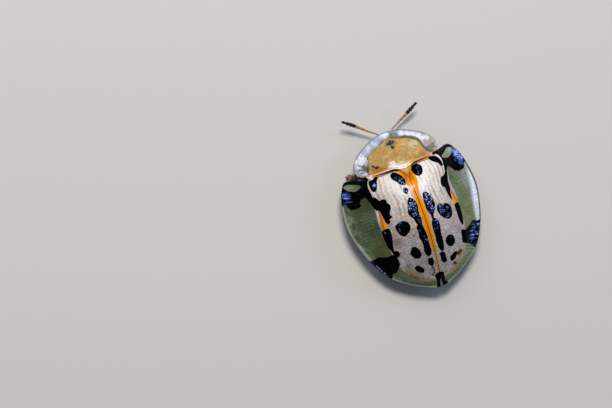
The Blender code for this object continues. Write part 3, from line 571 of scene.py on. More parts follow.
# Pronotum
pronotum = {
    "hind": ((0.0, 4.22), (0.45, 4.28), (0.95, 4.46), (2.5, 4.55), (3.35, 4.85), (3.68, 5.15)),
    "front": ((0.0, 7.8), (1.0, 7.66), (1.95, 7.3), (3.1, 6.6), (3.68, 5.85), (3.78, 5.4)),
    "crest": 2.95, "cornerRise": 0.5, "fallWidth": 3.75, "fallPower": 0.9, "sideEasing": 0.25,
    "columns": 330, "rows": 145,
    "wall": 0.14,
    "disc": ((-0.05, 7.2), (0.22, 7.15), (0.5, 7.0), (0.8, 6.86), (1.12, 6.78), (1.5, 6.68), (1.82, 6.53),
             (2.12, 6.34), (2.32, 6.12), (2.41, 5.82), (2.45, 5.5), (2.5, 5.2), (2.66, 4.93), (2.92, 4.72),
             (3.0, 4.2), (0.0, 3.9), (-3.0, 4.2), (-2.85, 4.74), (-2.8, 4.95), (-2.68, 5.2), (-2.55, 5.5),
             (-2.4, 5.85), (-2.28, 6.15), (-2.08, 6.38), (-1.8, 6.55), (-1.4, 6.71), (-1.0, 6.84), (-0.72, 6.92),
             (-0.5, 7.06)),
    "rightCorner": 0.14,      # how much further out the right corner lies than the left
    "discWobble": 0.03, "grooveDepth": 0.035, "grooveWidth": 0.1, "unevenness": 0.012,
    "length": 3.2,        # distance that counts from the hind to the front edge
    # the lip along the hind edge: height, distance and half-width, and the same of the groove before it
    "hindLip": (0.05, 0.1, 0.05), "hindGroove": (0.03, 0.24, 0.07),
    "spotFade": 2.5,      # how sharply its colour spots end
}
# Its soft spots of colour: right, forward and radius in mm, strength. The white and lilac spots are painted reflections
# on the clear shield, and the pale spots are partly a painted highlight
shieldSpots = {
    "dark": ((-0.02, 6.78, 0.13, 1.1), (0.24, 6.74, 0.11, 1.0), (-0.26, 6.7, 0.11, 1.0), (0.1, 6.62, 0.1, 0.7),
             (-0.1, 6.58, 0.1, 0.7), (0.02, 6.88, 0.1, 0.8), (0.22, 6.9, 0.07, 0.5), (-0.05, 6.28, 0.15, 1.0),
             (0.1, 6.3, 0.08, 0.6), (-2.27, 5.34, 0.11, 1.1), (-2.1, 5.13, 0.13, 1.1), (-1.95, 5.2, 0.08, 0.8),
             (-2.2, 5.2, 0.07, 0.8), (-1.9, 5.05, 0.06, 0.6), (-1.6, 4.85, 0.06, 0.5), (-2.42, 5.02, 0.06, 0.5),
             (-1.35, 5.0, 0.05, 0.4)),
    "smoke": ((-0.25, 6.72, 0.26, 0.8), (0.25, 6.72, 0.24, 0.8), (0.0, 6.5, 0.28, 0.75), (-0.02, 6.32, 0.2, 0.5),
              (-0.4, 6.45, 0.2, 0.4), (0.42, 6.5, 0.2, 0.4), (0.0, 6.9, 0.24, 0.7)),
    "gold": ((0.72, 6.6, 0.16, 0.7), (0.6, 6.35, 0.2, 0.7), (0.35, 6.2, 0.2, 0.8), (0.02, 6.15, 0.22, 0.9),
             (-0.35, 6.25, 0.16, 0.5), (2.0, 5.35, 0.32, 0.8), (2.15, 5.6, 0.22, 0.6), (1.3, 4.8, 0.4, 0.6),
             (-0.5, 6.9, 0.2, 0.5), (-1.9, 5.4, 0.3, 0.5), (-2.3, 5.9, 0.2, 0.4), (0.0, 7.0, 0.3, 0.5),
             (0.7, 4.7, 0.25, 0.5), (-1.0, 6.5, 0.3, 0.3)),
    "warm": ((-0.05, 5.95, 0.3, 0.6), (1.25, 4.95, 0.25, 0.6), (-2.05, 4.85, 0.5, 1.0), (-2.45, 5.2, 0.3, 0.8),
             (-1.5, 4.75, 0.3, 0.7), (2.05, 4.82, 0.42, 0.8),
             (2.35, 5.05, 0.3, 0.55), (1.5, 4.7, 0.35, 0.6), (-0.12, 5.75, 0.3, 0.5), (0.02, 6.12, 0.2, 0.5),
             (-0.3, 5.6, 0.3, 0.35), (-1.1, 6.2, 0.5, 0.35), (-0.6, 5.9, 0.4, 0.3), (0.2, 5.2, 0.4, 0.25),
             (1.6, 5.6, 0.4, 0.15), (0.0, 7.05, 0.2, 0.4), (2.75, 4.72, 0.2, 0.5)),
    "pale": ((-0.7, 5.0, 0.3, 0.6), (-1.1, 4.85, 0.2, 0.7), (-0.8, 4.75, 0.26, 0.9), (-0.9, 5.08, 0.17, 0.75),
             (-0.5, 4.72, 0.26, 0.6), (-0.35, 4.45, 0.3, 0.7),
             (0.1, 4.35, 0.3, 0.5), (-1.3, 4.65, 0.2, 0.5), (-0.6, 5.3, 0.2, 0.25)),
    "cream": ((0.9, 6.2, 0.3, 0.35), (2.05, 5.85, 0.2, 0.6), (0.2, 4.5, 0.4, 0.7), (-0.1, 4.75, 0.35, 0.6),
              (0.55, 4.6, 0.25, 0.6), (1.9, 6.1, 0.4, 0.5),
              (1.5, 5.9, 0.4, 0.5), (1.2, 5.4, 0.35, 0.3), (1.7, 5.3, 0.2, 0.3)),
    "white": ((0.0, 7.4, 0.36, 1.0), (-0.35, 7.6, 0.3, 0.6), (1.75, 6.98, 0.3, 0.9), (2.15, 6.75, 0.32, 1.0),
              (2.6, 6.42, 0.36, 1.0), (2.9, 6.15, 0.3, 0.8), (3.25, 6.05, 0.3, 0.8), (1.3, 7.22, 0.3, 0.8),
              (-2.65, 6.3, 0.4, 1.0), (-1.9, 6.95, 0.3, 0.5), (-1.4, 7.2, 0.2, 0.45), (-2.95, 6.0, 0.3, 0.9),
              (-3.3, 6.2, 0.25, 0.8), (-2.55, 5.9, 0.2, 0.5), (-3.3, 5.75, 0.22, 0.9),
              (-3.3, 5.35, 0.16, 0.5), (-2.4, 5.95, 0.22, 0.6), (-1.2, 7.02, 0.24, 0.5), (2.65, 5.85, 0.2, 0.5),
              (-2.0, 6.65, 0.26, 0.5), (-3.1, 4.95, 0.2, 0.6), (3.35, 5.4, 0.14, 0.4), (2.95, 5.42, 0.12, 0.4),
              (3.6, 5.6, 0.15, 0.5)),
    "lilac": ((-1.6, 7.15, 0.5, 0.65), (-2.1, 6.9, 0.4, 0.6), (-2.7, 6.85, 0.4, 0.5), (-1.1, 7.3, 0.35, 0.7),
              (-0.7, 7.3, 0.3, 0.7), (0.95, 7.5, 0.35, 0.8), (1.5, 7.35, 0.35, 0.7), (2.1, 7.05, 0.35, 0.6),
              (2.9, 6.65, 0.35, 0.6), (-0.75, 7.0, 0.2, 0.9), (-3.5, 5.3, 0.25, 0.7), (-3.4, 6.2, 0.25, 0.25),
              (-2.9, 4.85, 0.25, 0.5)),
    "cornerSmoke": ((-2.78, 5.3, 0.3, 0.95), (-2.72, 5.05, 0.26, 0.95), (-2.95, 5.55, 0.24, 0.7),
                    (-2.85, 5.8, 0.16, 0.45), (-3.2, 5.2, 0.16, 0.45), (2.62, 5.2, 0.3, 0.9), (2.75, 4.95, 0.28, 0.9),
                    (3.05, 5.12, 0.34, 1.0), (3.4, 5.25, 0.3, 1.0), (3.55, 5.42, 0.18, 0.7), (3.1, 4.9, 0.25, 0.8),
                    (2.6, 5.5, 0.18, 0.5), (0.45, 7.42, 0.3, 0.7), (0.75, 7.2, 0.26, 0.8), (0.35, 7.25, 0.2, 0.7),
                    (0.28, 7.62, 0.14, 0.5), (0.62, 7.55, 0.12, 0.4)),
    "blush": ((2.98, 5.75, 0.3, 0.9), (3.45, 5.72, 0.26, 1.0), (3.2, 5.5, 0.2, 0.6), (2.75, 6.1, 0.14, 0.35),
              (3.7, 5.5, 0.18, 0.8)),
    "scratch": ((-2.68, 6.52, 0.068, 0.7), (-2.52, 6.6, 0.068, 0.7), (-2.4, 6.44, 0.08, 0.8), (-2.3, 6.32, 0.068, 0.7),
                (-2.56, 6.32, 0.055, 0.6), (-2.34, 6.1, 0.068, 0.7), (-2.3, 6.2, 0.068, 0.7), (-3.2, 5.83, 0.08, 0.9),
                (-3.1, 5.76, 0.068, 0.7), (-3.28, 5.95, 0.055, 0.6), (-3.35, 5.45, 0.09, 0.8), (-3.22, 5.38, 0.09, 0.8),
                (-3.08, 5.34, 0.08, 0.7), (-3.05, 5.55, 0.068, 0.6), (-2.9, 5.68, 0.08, 0.6), (-3.3, 5.14, 0.068, 0.6),
                (-3.12, 5.05, 0.068, 0.6), (-2.7, 5.3, 0.1, 0.7), (2.9, 6.42, 0.068, 0.5), (2.62, 5.45, 0.08, 0.5),
                (2.5, 5.28, 0.09, 0.7), (0.28, 7.14, 0.1, 0.9), (0.5, 7.06, 0.1, 0.9), (0.66, 7.0, 0.08, 0.7),
                (-0.8, 6.92, 0.09, 0.8), (-0.72, 6.98, 0.068, 0.6), (-2.3, 6.05, 0.08, 0.6), (2.95, 5.2, 0.08, 0.4)),
}


def pronotumPoints(crosswise, lengthwise):
    s = pronotum
    share = np.abs(crosswise)
    hind = curveThrough(s["hind"], share)
    front = curveThrough(s["front"], share)
    right = hind[..., 0] + (front[..., 0] - hind[..., 0]) * lengthwise
    forward = hind[..., 1] + (front[..., 1] - hind[..., 1]) * lengthwise
    fall = np.clip(1 - (hind[..., 0] / s["fallWidth"]) ** 2, 0, 1) ** s["fallPower"]
    top = s["cornerRise"] + (s["crest"] - s["cornerRise"]) * fall
    eased = lengthwise ** (1 - s["sideEasing"] * share)
    rise = top * (0.5 * (1 - eased) + 0.25 * (1 + np.cos(np.pi * eased)))
    right = right + s["rightCorner"] * np.clip((right - 2.2) / 1.5, 0, 1) ** 2 * (crosswise > 0)
    return right * np.sign(crosswise), forward, plan["rimHeight"] + rise


def makePronotum(finish):
    s = pronotum
    crosswise, lengthwise = np.meshgrid(np.linspace(-1, 1, s["columns"]), np.linspace(0, 1, s["rows"]))
    crosswise = np.where(crosswise == 0, 1e-6, crosswise)
    right, forward, height = pronotumPoints(crosswise, lengthwise)
    disc = outlineDistance(right, forward, s["disc"], markSizes["beyond"])
    disc = disc + s["discWobble"] * ripple(right, forward, 0.5, 5)
    height = height - s["grooveDepth"] * bell((disc - 0.03) / s["grooveWidth"])
    height = height + s["unevenness"] * ripple(right, forward, 0.8, 4) * (disc < 0)
    front = curveThrough(s["front"], np.abs(crosswise))
    rim = (1 - lengthwise) * np.hypot(front[..., 0] - np.abs(curveThrough(s["hind"], np.abs(crosswise))[..., 0]),
                                      front[..., 1] - 4.5)
    # how far the hind edge with its lip and dark line is: they fade out towards the corners
    hind = lengthwise * s["length"] + 0.4 * np.clip(np.abs(right) - 3.0, 0, 1)
    for sign, (size, middle, wide) in ((1, s["hindLip"]), (-1, s["hindGroove"])):
        height = height + sign * size * bell((hind - middle) / wide)
    marks = {"discEdge": disc, "hindDistance": hind, "rimDistance": rim, "right": right}
    marks.update({key: blobs(right, forward, spots, s["spotFade"]) for key, spots in shieldSpots.items()})
    piece = platePiece("pronotumShield", place(right, forward, height), s["wall"], marks, finish)
    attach(piece, "root")
    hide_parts("pronotum")
    return piece


# Finishes of the shell
cuticle = {
    # the middle, rear and flank greys of the cream are painted shade; glare, shine, the foot line's pale blue, the
    # milky pale and the blues for the black are painted highlights and reflections; the deep greens and browns of the
    # clear margin are partly painted shade
    "cream": "#FFF2E6", "middle": "#D6C9BE", "rearGrey": "#C2BBBF", "flank": "#A0918A",
    "streak": "#C99A70", "streakPink": "#C4A096", "glare": "#FFFDFB", "mottle": "#645D5C",
    "lilac": "#B9B2C6",
    "orange": "#F89A06", "redOrange": "#D87204", "emberOrange": "#BC5602", "gold": "#DCAA14", "suture": "#5A2A08",
    "shine": "#F8C8A8", "black": "#020203",
    "clearLeaf": "#78A034", "clearTail": "#447410", "clear": "#628838", "clearDark": "#466228",
    "clearDeep": "#082004", "clearBrown": "#7A6E38", "brownInShade": "#3E3C1A", "clearRim": "#E8EEFA",
    "netLine": "#B6C4A0", "netInShade": "#8C9A6A", "edgeLine": "#B4C2E0",
    "rim": "#A8A488", "rimPale": "#E2DCC2", "rimDark": "#20281C",
    "sheenDeep": "#1E2B58", "sheenBlue": "#4E70CC", "sheenPale": "#B8C6F6",
    "rust": "#4A200C", "stainYellow": "#86703C", "baseStrip": "#CC8A24", "baseLine": "#2A1408",
    "markGrowth": 0.03, "markSoftness": 0.016, "markNoise": 0.05,
    "clearAlpha": 0.6, "netAlpha": 0.72,
}
# the clear film's blue-grey, the white and the lilac stand for painted reflections, and the hind shine for a painted
# highlight
shield = {
    "tan": "#A48040", "tanLight": "#C6A668", "olive": "#9C8540", "gold": "#CC9428", "orange": "#A86A14",
    "dark": "#1C1816", "smoke": "#6C685E", "pale": "#F6EEE6", "cream": "#EADBA8",
    "clear": "#CDD3E2", "white": "#F4F6FE", "lilac": "#98A9D8", "clearSmoke": "#5C6244", "blush": "#B69880",
    "outline": "#3C3628", "hindRidge": "#D68E1E", "hindShine": "#FBF4F8", "hindLine": "#1E0E06",
}


def wobbled(n, value, noise, size):
    # a value pushed up and down by a noise, by size from lowest to highest
    return n("add", value, n("multiply_add", noise, size, -size / 2))


def near(n, value, middle, *ends):
    # a mask round a middle value; its ends are the distances where it begins and is full, and its strengths there
    return n("ramp", n("absolute", n("subtract", value, middle)), *ends)


def painted(n, colours, base, *layers):
    # a colour with others laid over it in turn, each as far as its mask says; a word names one of the colours
    for mask, shade in layers:
        base = n("mix", mask, base, colours[shade] if isinstance(shade, str) else shade)
    return base


def vaultColour(n, f):
    # the cream of the vault with its streaks, grain, punctures and base edge, and painted shade that greys it to the
    # rear and down the flanks
    rearward = wobbled(n, f.forward, f.broad, 2.4)
    flankward = n("ramp", wobbled(n, f.vaultEdge, f.broad, 0.8), -1.3, -0.2)
    f.warmer = n("ramp", rearward, -2.0, -4.2)
    # a pink-tan streak along each row of punctures, and a painted highlight on the ridge between
    wavy = wobbled(n, f.stria, f.broad, 0.9)
    sawtooth = n("absolute", n("subtract", n("fract", wavy), 0.5))
    f.line = n("ramp", wobbled(n, sawtooth, f.fine, 0.36), 0.16, 0.46)
    streakPlace = n("vector", n("round", wavy), n("multiply", f.alongStria, 0.08))
    strength = n("ramp", n("noise", streakPlace, 1.3, 4.0), 0.34, 0.56)
    strength = n("multiply", strength, n("ramp", f.forward, -2.5, 1.5, 0.35, 0.8))
    ridges = n("multiply", n("ramp", sawtooth, 0.2, 0.08), n("ramp", f.forward, 0.2, 1.6, 0.15, 1.0))
    ridges = n("multiply", ridges, n("ramp", n("noise", streakPlace, 1.9, 3.0), 0.36, 0.5))
    # short strokes along the rows, a grain of the wax layer: bright in front, lilac and dark behind
    strokePlace = n("vector", n("multiply", f.stria, 2.6), n("multiply", f.alongStria, 0.7))
    strokes = n("noise", strokePlace, 1.0, 5.0, 0.7)
    dull = n("multiply", n("ramp", strokes, 0.48, 0.3), n("ramp", f.forward, 2.8, 0.8, 0.2, 0.62))
    cloudy = n("multiply", n("ramp", f.broad, 0.5, 0.72), n("ramp", f.forward, 2.6, 0.6, 0.06, 0.34))
    # painted highlights as bright grain between the streaks, and a dark grain that grows to the rear
    bright = n("ramp", n("noise", strokePlace, 1.7, 4.0, 0.6), 0.52, 0.66)
    bright = n("multiply", bright, n("ramp", f.forward, 0.2, 2.4, 0.4, 0.9))
    grainy = n("ramp", n("noise", f.where, 7000.0, 2.0), 0.54, 0.4)
    grainy = n("multiply", grainy, n("ramp", f.forward, 2.6, -1.0, 0.12, 0.42))
    # painted highlights where the cream is whitened, broken up by the grain, and painted shade where it is dulled
    brokenUp = n("multiply_add", strokes, 2.2, -1.1)
    paintedDull = n("subtract", n("multiply", brokenUp, 0.5), f.tone)
    # punctures: a small dimple at each step of each row, some of them darker
    pitX = n("multiply", n("subtract", n("fract", f.stria), 0.5), 1.5)
    pitY = n("subtract", n("fract", f.alongStria), 0.5)
    pit = n("sqrt", n("add", n("multiply", pitX, pitX), n("multiply", pitY, pitY)))
    f.chance = n("chance", n("vector", n("floor", f.stria), n("floor", f.alongStria)))
    dimple = n("ramp", wobbled(n, pit, f.fine, 0.3), 0.34, 0.1)
    f.dimple = n("multiply", dimple, n("multiply", f.onVault, n("ramp", f.stria, 0.95, 1.05)))
    dots = n("multiply", n("ramp", f.chance, 0.2, 0.8), n("ramp", f.forward, 2.0, -1.0, 0.15, 0.75))
    # the base: an orange-brown strip with a dark line behind it, where the pronotum ends
    byPronotum = n("ramp", f.fromSeam, 2.95, 2.6)
    onBase = n("multiply", n("ramp", n("add", f.baseEdge, n("multiply", f.ragged, 0.6)), 0.01, -0.02), byPronotum)
    baseLine = n("multiply", n("ramp", n("absolute", f.baseEdge), 0.036, 0.012, 0.0, 0.85), byPronotum)
    return painted(
        n, cuticle, cuticle["cream"],
        # painted shade: greyer to the rear and down the flanks
        (n("ramp", rearward, 3.0, 0.4), "middle"),
        (n("ramp", rearward, 0.4, -2.6), "rearGrey"),
        (n("multiply", flankward, n("ramp", f.forward, 3.2, 2.0, 0.25, 0.5)), "flank"),
        (n("multiply", f.line, strength), n("mix", f.broad, cuticle["streak"], cuticle["streakPink"])),
        (ridges, "glare"),
        (n("ramp", strokes, 0.55, 0.7, 0.0, 0.55), "lilac"),
        (dull, "mottle"),
        (cloudy, "mottle"),
        (bright, "glare"),
        (grainy, "mottle"),
        (n("ramp", n("add", f.tone, brokenUp), 0.3, 0.95, 0.0, 0.95), "glare"),
        (n("ramp", paintedDull, 0.1, 0.9, 0.0, 0.75), "mottle"),
        (n("multiply", f.dimple, dots), "mottle"),
        (n("multiply", onBase, 0.9), "baseStrip"),
        (baseLine, "baseLine"))


def stripeColour(n, f, colour):
    # orange stripes: redder in front, golden to the rear, with the brown suture and a fainter line beside it
    ember = n("ramp", wobbled(n, f.forward, f.fine, 0.6), 2.8, 3.3, 0.0, 0.9)
    outer = n("multiply", n("ramp", f.vaultEdge, -0.32, -0.12), n("ramp", f.fromSeam, 1.4, 2.0, 0.0, 0.85))
    grainPlace = n("vector", n("multiply", f.fromSeam, 14.0), n("multiply", f.forward, 1.6))
    grain = n("noise", grainPlace, 1.0, 4.0)
    warm = painted(
        n, cuticle, cuticle["orange"],
        (f.warmer, "gold"),
        (n("multiply", ember, n("ramp", f.fromSeam, 0.5, 0.25)), "emberOrange"),
        (n("ramp", grain, 0.5, 0.75, 0.0, 0.6), "redOrange"),
        (outer, "emberOrange"))
    seamLine = wobbled(n, f.fromSeam, grain, 0.03)
    suture = n("multiply", n("ramp", seamLine, 0.06, 0.025), n("ramp", f.forward, 3.0, 2.0, 0.15, 0.85))
    beside = n("multiply", near(n, seamLine, 0.13, 0.04, 0.0),
               n("ramp", f.forward, 2.6, 1.6, 0.0, 0.4))
    # painted highlights: where the front of the stripe is painted pinkish white, and a painted glint line along the
    # suture
    shine = n("multiply", n("ramp", wobbled(n, f.sheen, grain, 0.8), 0.25, 0.8),
              n("ramp", f.fromSeam, 0.6, 0.45))
    nearGlare = near(n, f.forward, 2.4, 0.42, 0.2)
    glint = n("multiply", near(n, seamLine, 0.08, 0.035, 0.01),
              near(n, f.forward, 2.1, 0.6, 0.4, 0.0, 0.7))
    return painted(n, cuticle, colour, (f.orange, warm), (suture, "suture"), (beside, "suture"),
                   (n("multiply", shine, nearGlare), "shine"), (glint, "shine"))


def stainColour(n, f, colour):
    # a yellow-brown tint where the vault ends behind, and rust specks on it
    tail = n("multiply", n("ramp", wobbled(n, f.forward, f.broad, 1.0), -3.5, -4.4),
             n("ramp", n("add", f.vaultEdge, f.ragged), -1.0, -0.15, 0.1, 0.95))
    stain = n("multiply", f.stain, n("ramp", f.fine, 0.3, 0.6, 0.6, 1.15))
    return painted(n, cuticle, colour, (n("multiply", tail, f.deep), "stainYellow"),
                   (n("ramp", stain, 0.08, 0.4, 0.0, 0.7), "stainYellow"),
                   (n("ramp", stain, 0.36, 0.66, 0.0, 0.95), "rust"))


def marginFilm(n, f):
    # the clear margin: green leaf seen through a net of fine cells and ribs, with painted shade over it, a milky band
    # that is partly a painted reflection, painted reflections on the ribs and near the rim, and a pale rim
    f.net = n("ramp", n("cells", f.where, 6400.0, 0.8), 0.02, 0.2, 1.0, 0.0)        # cells of about 0.16 mm
    ribPlace = n("fract", n("add", f.rib, n("multiply", f.fine, 0.5)))
    f.ribShine = near(n, ribPlace, 0.5, 0.3, 0.5)
    leafy = n("multiply", n("ramp", f.forward, 1.0, -1.0, 0.0, 0.75), n("subtract", 1.0, f.deep))
    f.tailward = n("ramp", f.forward, -3.3, -4.3)
    # fine lines across the margin, about 0.13 mm apart
    linePlace = n("fract", n("add", n("multiply", f.rib, 2.3), n("multiply", f.broad, 0.5)))
    lines = near(n, linePlace, 0.5, 0.3, 0.46)
    lines = n("multiply", lines, n("ramp", n("noise", f.where, 1100.0, 3.0), 0.4, 0.62, 0.35, 1.0))
    bandPlace = n("vector", n("multiply", f.rib, 0.45), n("multiply", f.rimDistance, 0.8))
    bands = n("ramp", n("noise", bandPlace, 1.0, 4.0, 0.6), 0.42, 0.62, 0.0, 0.75)
    # on the right, finer brown lines run lengthwise beside the milky band
    lengthPlace = n("vector", n("multiply", f.rimDistance, 9.0), n("multiply", f.forward, 0.5))
    lengthwise = n("ramp", n("noise", lengthPlace, 1.0, 3.0), 0.45, 0.6)
    lengthwise = n("multiply", lengthwise, n("ramp", f.deep, 0.6, 0.4, 0.0, 0.6))
    lengthwise = n("multiply", lengthwise, n("ramp", f.rimDistance, 2.1, 1.6))
    fineNet = n("multiply", n("maximum", n("multiply", f.net, 0.25), lines), 0.8)
    # painted reflections: pale light along the ribs at the rear, and a pale haze near the rim
    rearRibs = n("multiply", n("multiply", f.ribShine, n("multiply_add", f.deep, -0.7, 1.0)),
                 n("ramp", f.forward, -3.3, -3.9, 0.0, 0.42))
    f.milk = n("multiply", f.milky, n("ramp", n("noise", f.where, 5000.0, 4.0, 0.7), 0.36, 0.52, 0.72, 1.0))
    haze = n("multiply", n("ramp", f.rimDistance, 0.9, 0.2, 0.0, 0.18),
             n("ramp", n("noise", f.where, 1300.0, 4.0), 0.42, 0.6))
    f.beading = n("ramp", f.rimDistance, 0.13, 0.08)
    rimShade = n("mix", n("ramp", f.forward, -2.4, -4.2), cuticle["rim"], cuticle["rimPale"])
    return painted(
        n, cuticle, cuticle["clear"],
        (n("ramp", f.broad, 0.35, 0.65), "clearDark"),
        (n("multiply", f.deep, 0.9), "clearDeep"),
        (leafy, "clearLeaf"),
        (n("multiply", f.tailward, 0.75), "clearTail"),
        (bands, n("mix", f.deep, cuticle["clearBrown"], cuticle["brownInShade"])),
        (lengthwise, "clearBrown"),
        (fineNet, n("mix", n("ramp", f.deep, 0.4, 1.0), cuticle["netLine"], cuticle["netInShade"])),
        (rearRibs, "clearRim"),
        (f.milk, "clearRim"),
        (n("multiply", haze, n("ramp", f.deep, 0.7, 0.9)), "clearRim"),
        (f.beading, n("mix", f.rimDark, rimShade, cuticle["rimDark"])))


def blackWithPaintedReflection(n, f):
    # black pigment with a painted blue reflection: in points on the dimpled vault, along the ribs on the margin
    points = n("multiply", n("ramp", n("cells", f.where, 5600.0, 0.9), 0.15, 0.24),
               n("ramp", n("noise", f.where, 3000.0, 2.0), 0.42, 0.5, 0.12, 1.0))
    points = n("maximum", points, n("multiply", f.dimple, n("ramp", f.chance, 0.3, 0.9)))
    blotches = n("multiply", n("multiply_add", f.ribShine, 0.6, 0.35),
                 n("ramp", n("noise", f.where, 3400.0, 4.0), 0.4, 0.58, 0.2, 1.0))
    granular = n("multiply", n("ramp", f.forward, 1.0, 2.0), n("ramp", f.deep, 0.7, 0.45))
    grains = n("ramp", n("noise", f.where, 8000.0, 2.0), 0.36, 0.56, 0.3, 1.0)
    blotches = n("mix", n("multiply", granular, 0.7), blotches, grains)
    reflectedAmount = n("multiply", n("mix", f.onVault, blotches, points), f.sheen)
    return painted(
        n, cuticle, cuticle["black"],
        (n("ramp", f.sheen, 0.4, 1.4, 0.0, 0.2), "sheenDeep"),
        (n("ramp", reflectedAmount, 0.14, 0.5, 0.0, 0.95), "sheenBlue"),
        (n("ramp", reflectedAmount, 0.42, 0.85, 0.0, 0.9), "sheenPale"),
        (n("ramp", f.sheen, 1.3, 1.55, 0.0, 0.8), "sheenPale"))


def wingCaseFinish():
    # insect cuticle, hard and smooth with a waxy gloss: cream pigment under a clear varnish-like surface
    made, tree, shader = newMaterial("glossyCreamCuticle")
    n = partial(addNode, tree)
    # f holds what the layers share: the marks on the mesh, noises, and masks from 0 to 1
    f = SimpleNamespace(where=n("place"), **{name: n("mark", attribute_name=name) for name in (
        "blackEdge", "orangeEdge", "vaultEdge", "rimDistance", "forward", "fromSeam", "stria", "alongStria", "rib",
        "milky", "stain", "sheen", "tone", "baseEdge", "deep", "rimDark")})
    f.fine = n("noise", f.where, 9000.0, 3.0)        # grains of about 0.1 mm
    f.broad = n("noise", f.where, 1500.0, 4.0)       # clouds of about 0.6 mm
    f.ragged = n("multiply_add", f.fine, cuticle["markNoise"], -0.5 * cuticle["markNoise"])
    soft, grown = cuticle["markSoftness"], cuticle["markGrowth"]
    f.black = n("ramp", n("add", f.blackEdge, f.ragged), grown - soft, grown + soft, 1.0, 0.0)
    f.orange = n("ramp", n("add", f.orangeEdge, f.ragged), -0.03, 0.03, 1.0, 0.0)
    f.onVault = n("ramp", f.vaultEdge, -0.02, 0.02, 1.0, 0.0)
    outside = n("subtract", 1.0, f.onVault)
    colour = stainColour(n, f, stripeColour(n, f, vaultColour(n, f)))
    film = marginFilm(n, f)
    # a painted pale blue highlight along the vault's foot
    edgeLine = n("multiply", near(n, f.vaultEdge, 0.06, 0.07, 0.03),
                 near(n, f.forward, 1.6, 1.6, 0.7))
    colour = painted(n, cuticle, colour, (outside, film), (edgeLine, "edgeLine"), (f.black, blackWithPaintedReflection(n, f)))
    thin = n("ramp", n("maximum", f.net, f.ribShine), 0.0, 1.0, cuticle["clearAlpha"], cuticle["netAlpha"])
    for part, share in ((f.milk, 0.95), (f.deep, 0.96), (f.tailward, 0.85), (f.beading, 1.0), (edgeLine, 0.8),
                        (f.onVault, 1.0), (f.black, 1.0)):
        thin = n("maximum", thin, n("multiply", part, share))
    # relief: dimples, streak ridges and a fine pebbled skin, strongest on the black
    relief = n("multiply_add", f.dimple, -1.0, n("multiply", f.fine, 0.35))
    relief = n("add", relief, n("multiply", f.net, n("multiply", outside, 0.35)))
    relief = n("add", relief, n("multiply", f.line, n("ramp", f.black, 0.0, 1.0, 0.12, 0.0)))
    force = n("ramp", f.black, 0.0, 1.0, 0.35, 1.0)
    rough = n("multiply_add", f.fine, 0.5, n("multiply", f.black, -0.3))
    # black and orange pigment lie deeper under the wax, so they mirror less
    pigment = n("maximum", f.black, f.orange)
    feed(tree, shader, {
        "Base Color": colour, "Alpha": thin, "Normal": n("bump", relief, force, 0.03 * mm),
        "Roughness": n("ramp", rough, -0.2, 0.6, 0.12, 0.34),
        "Specular IOR Level": n("ramp", pigment, 0.0, 1.0, 0.45, 0.03),
        "Coat Weight": n("ramp", pigment, 0.0, 1.0, 0.25, 0.02), "Coat Roughness": 0.06})
    return made


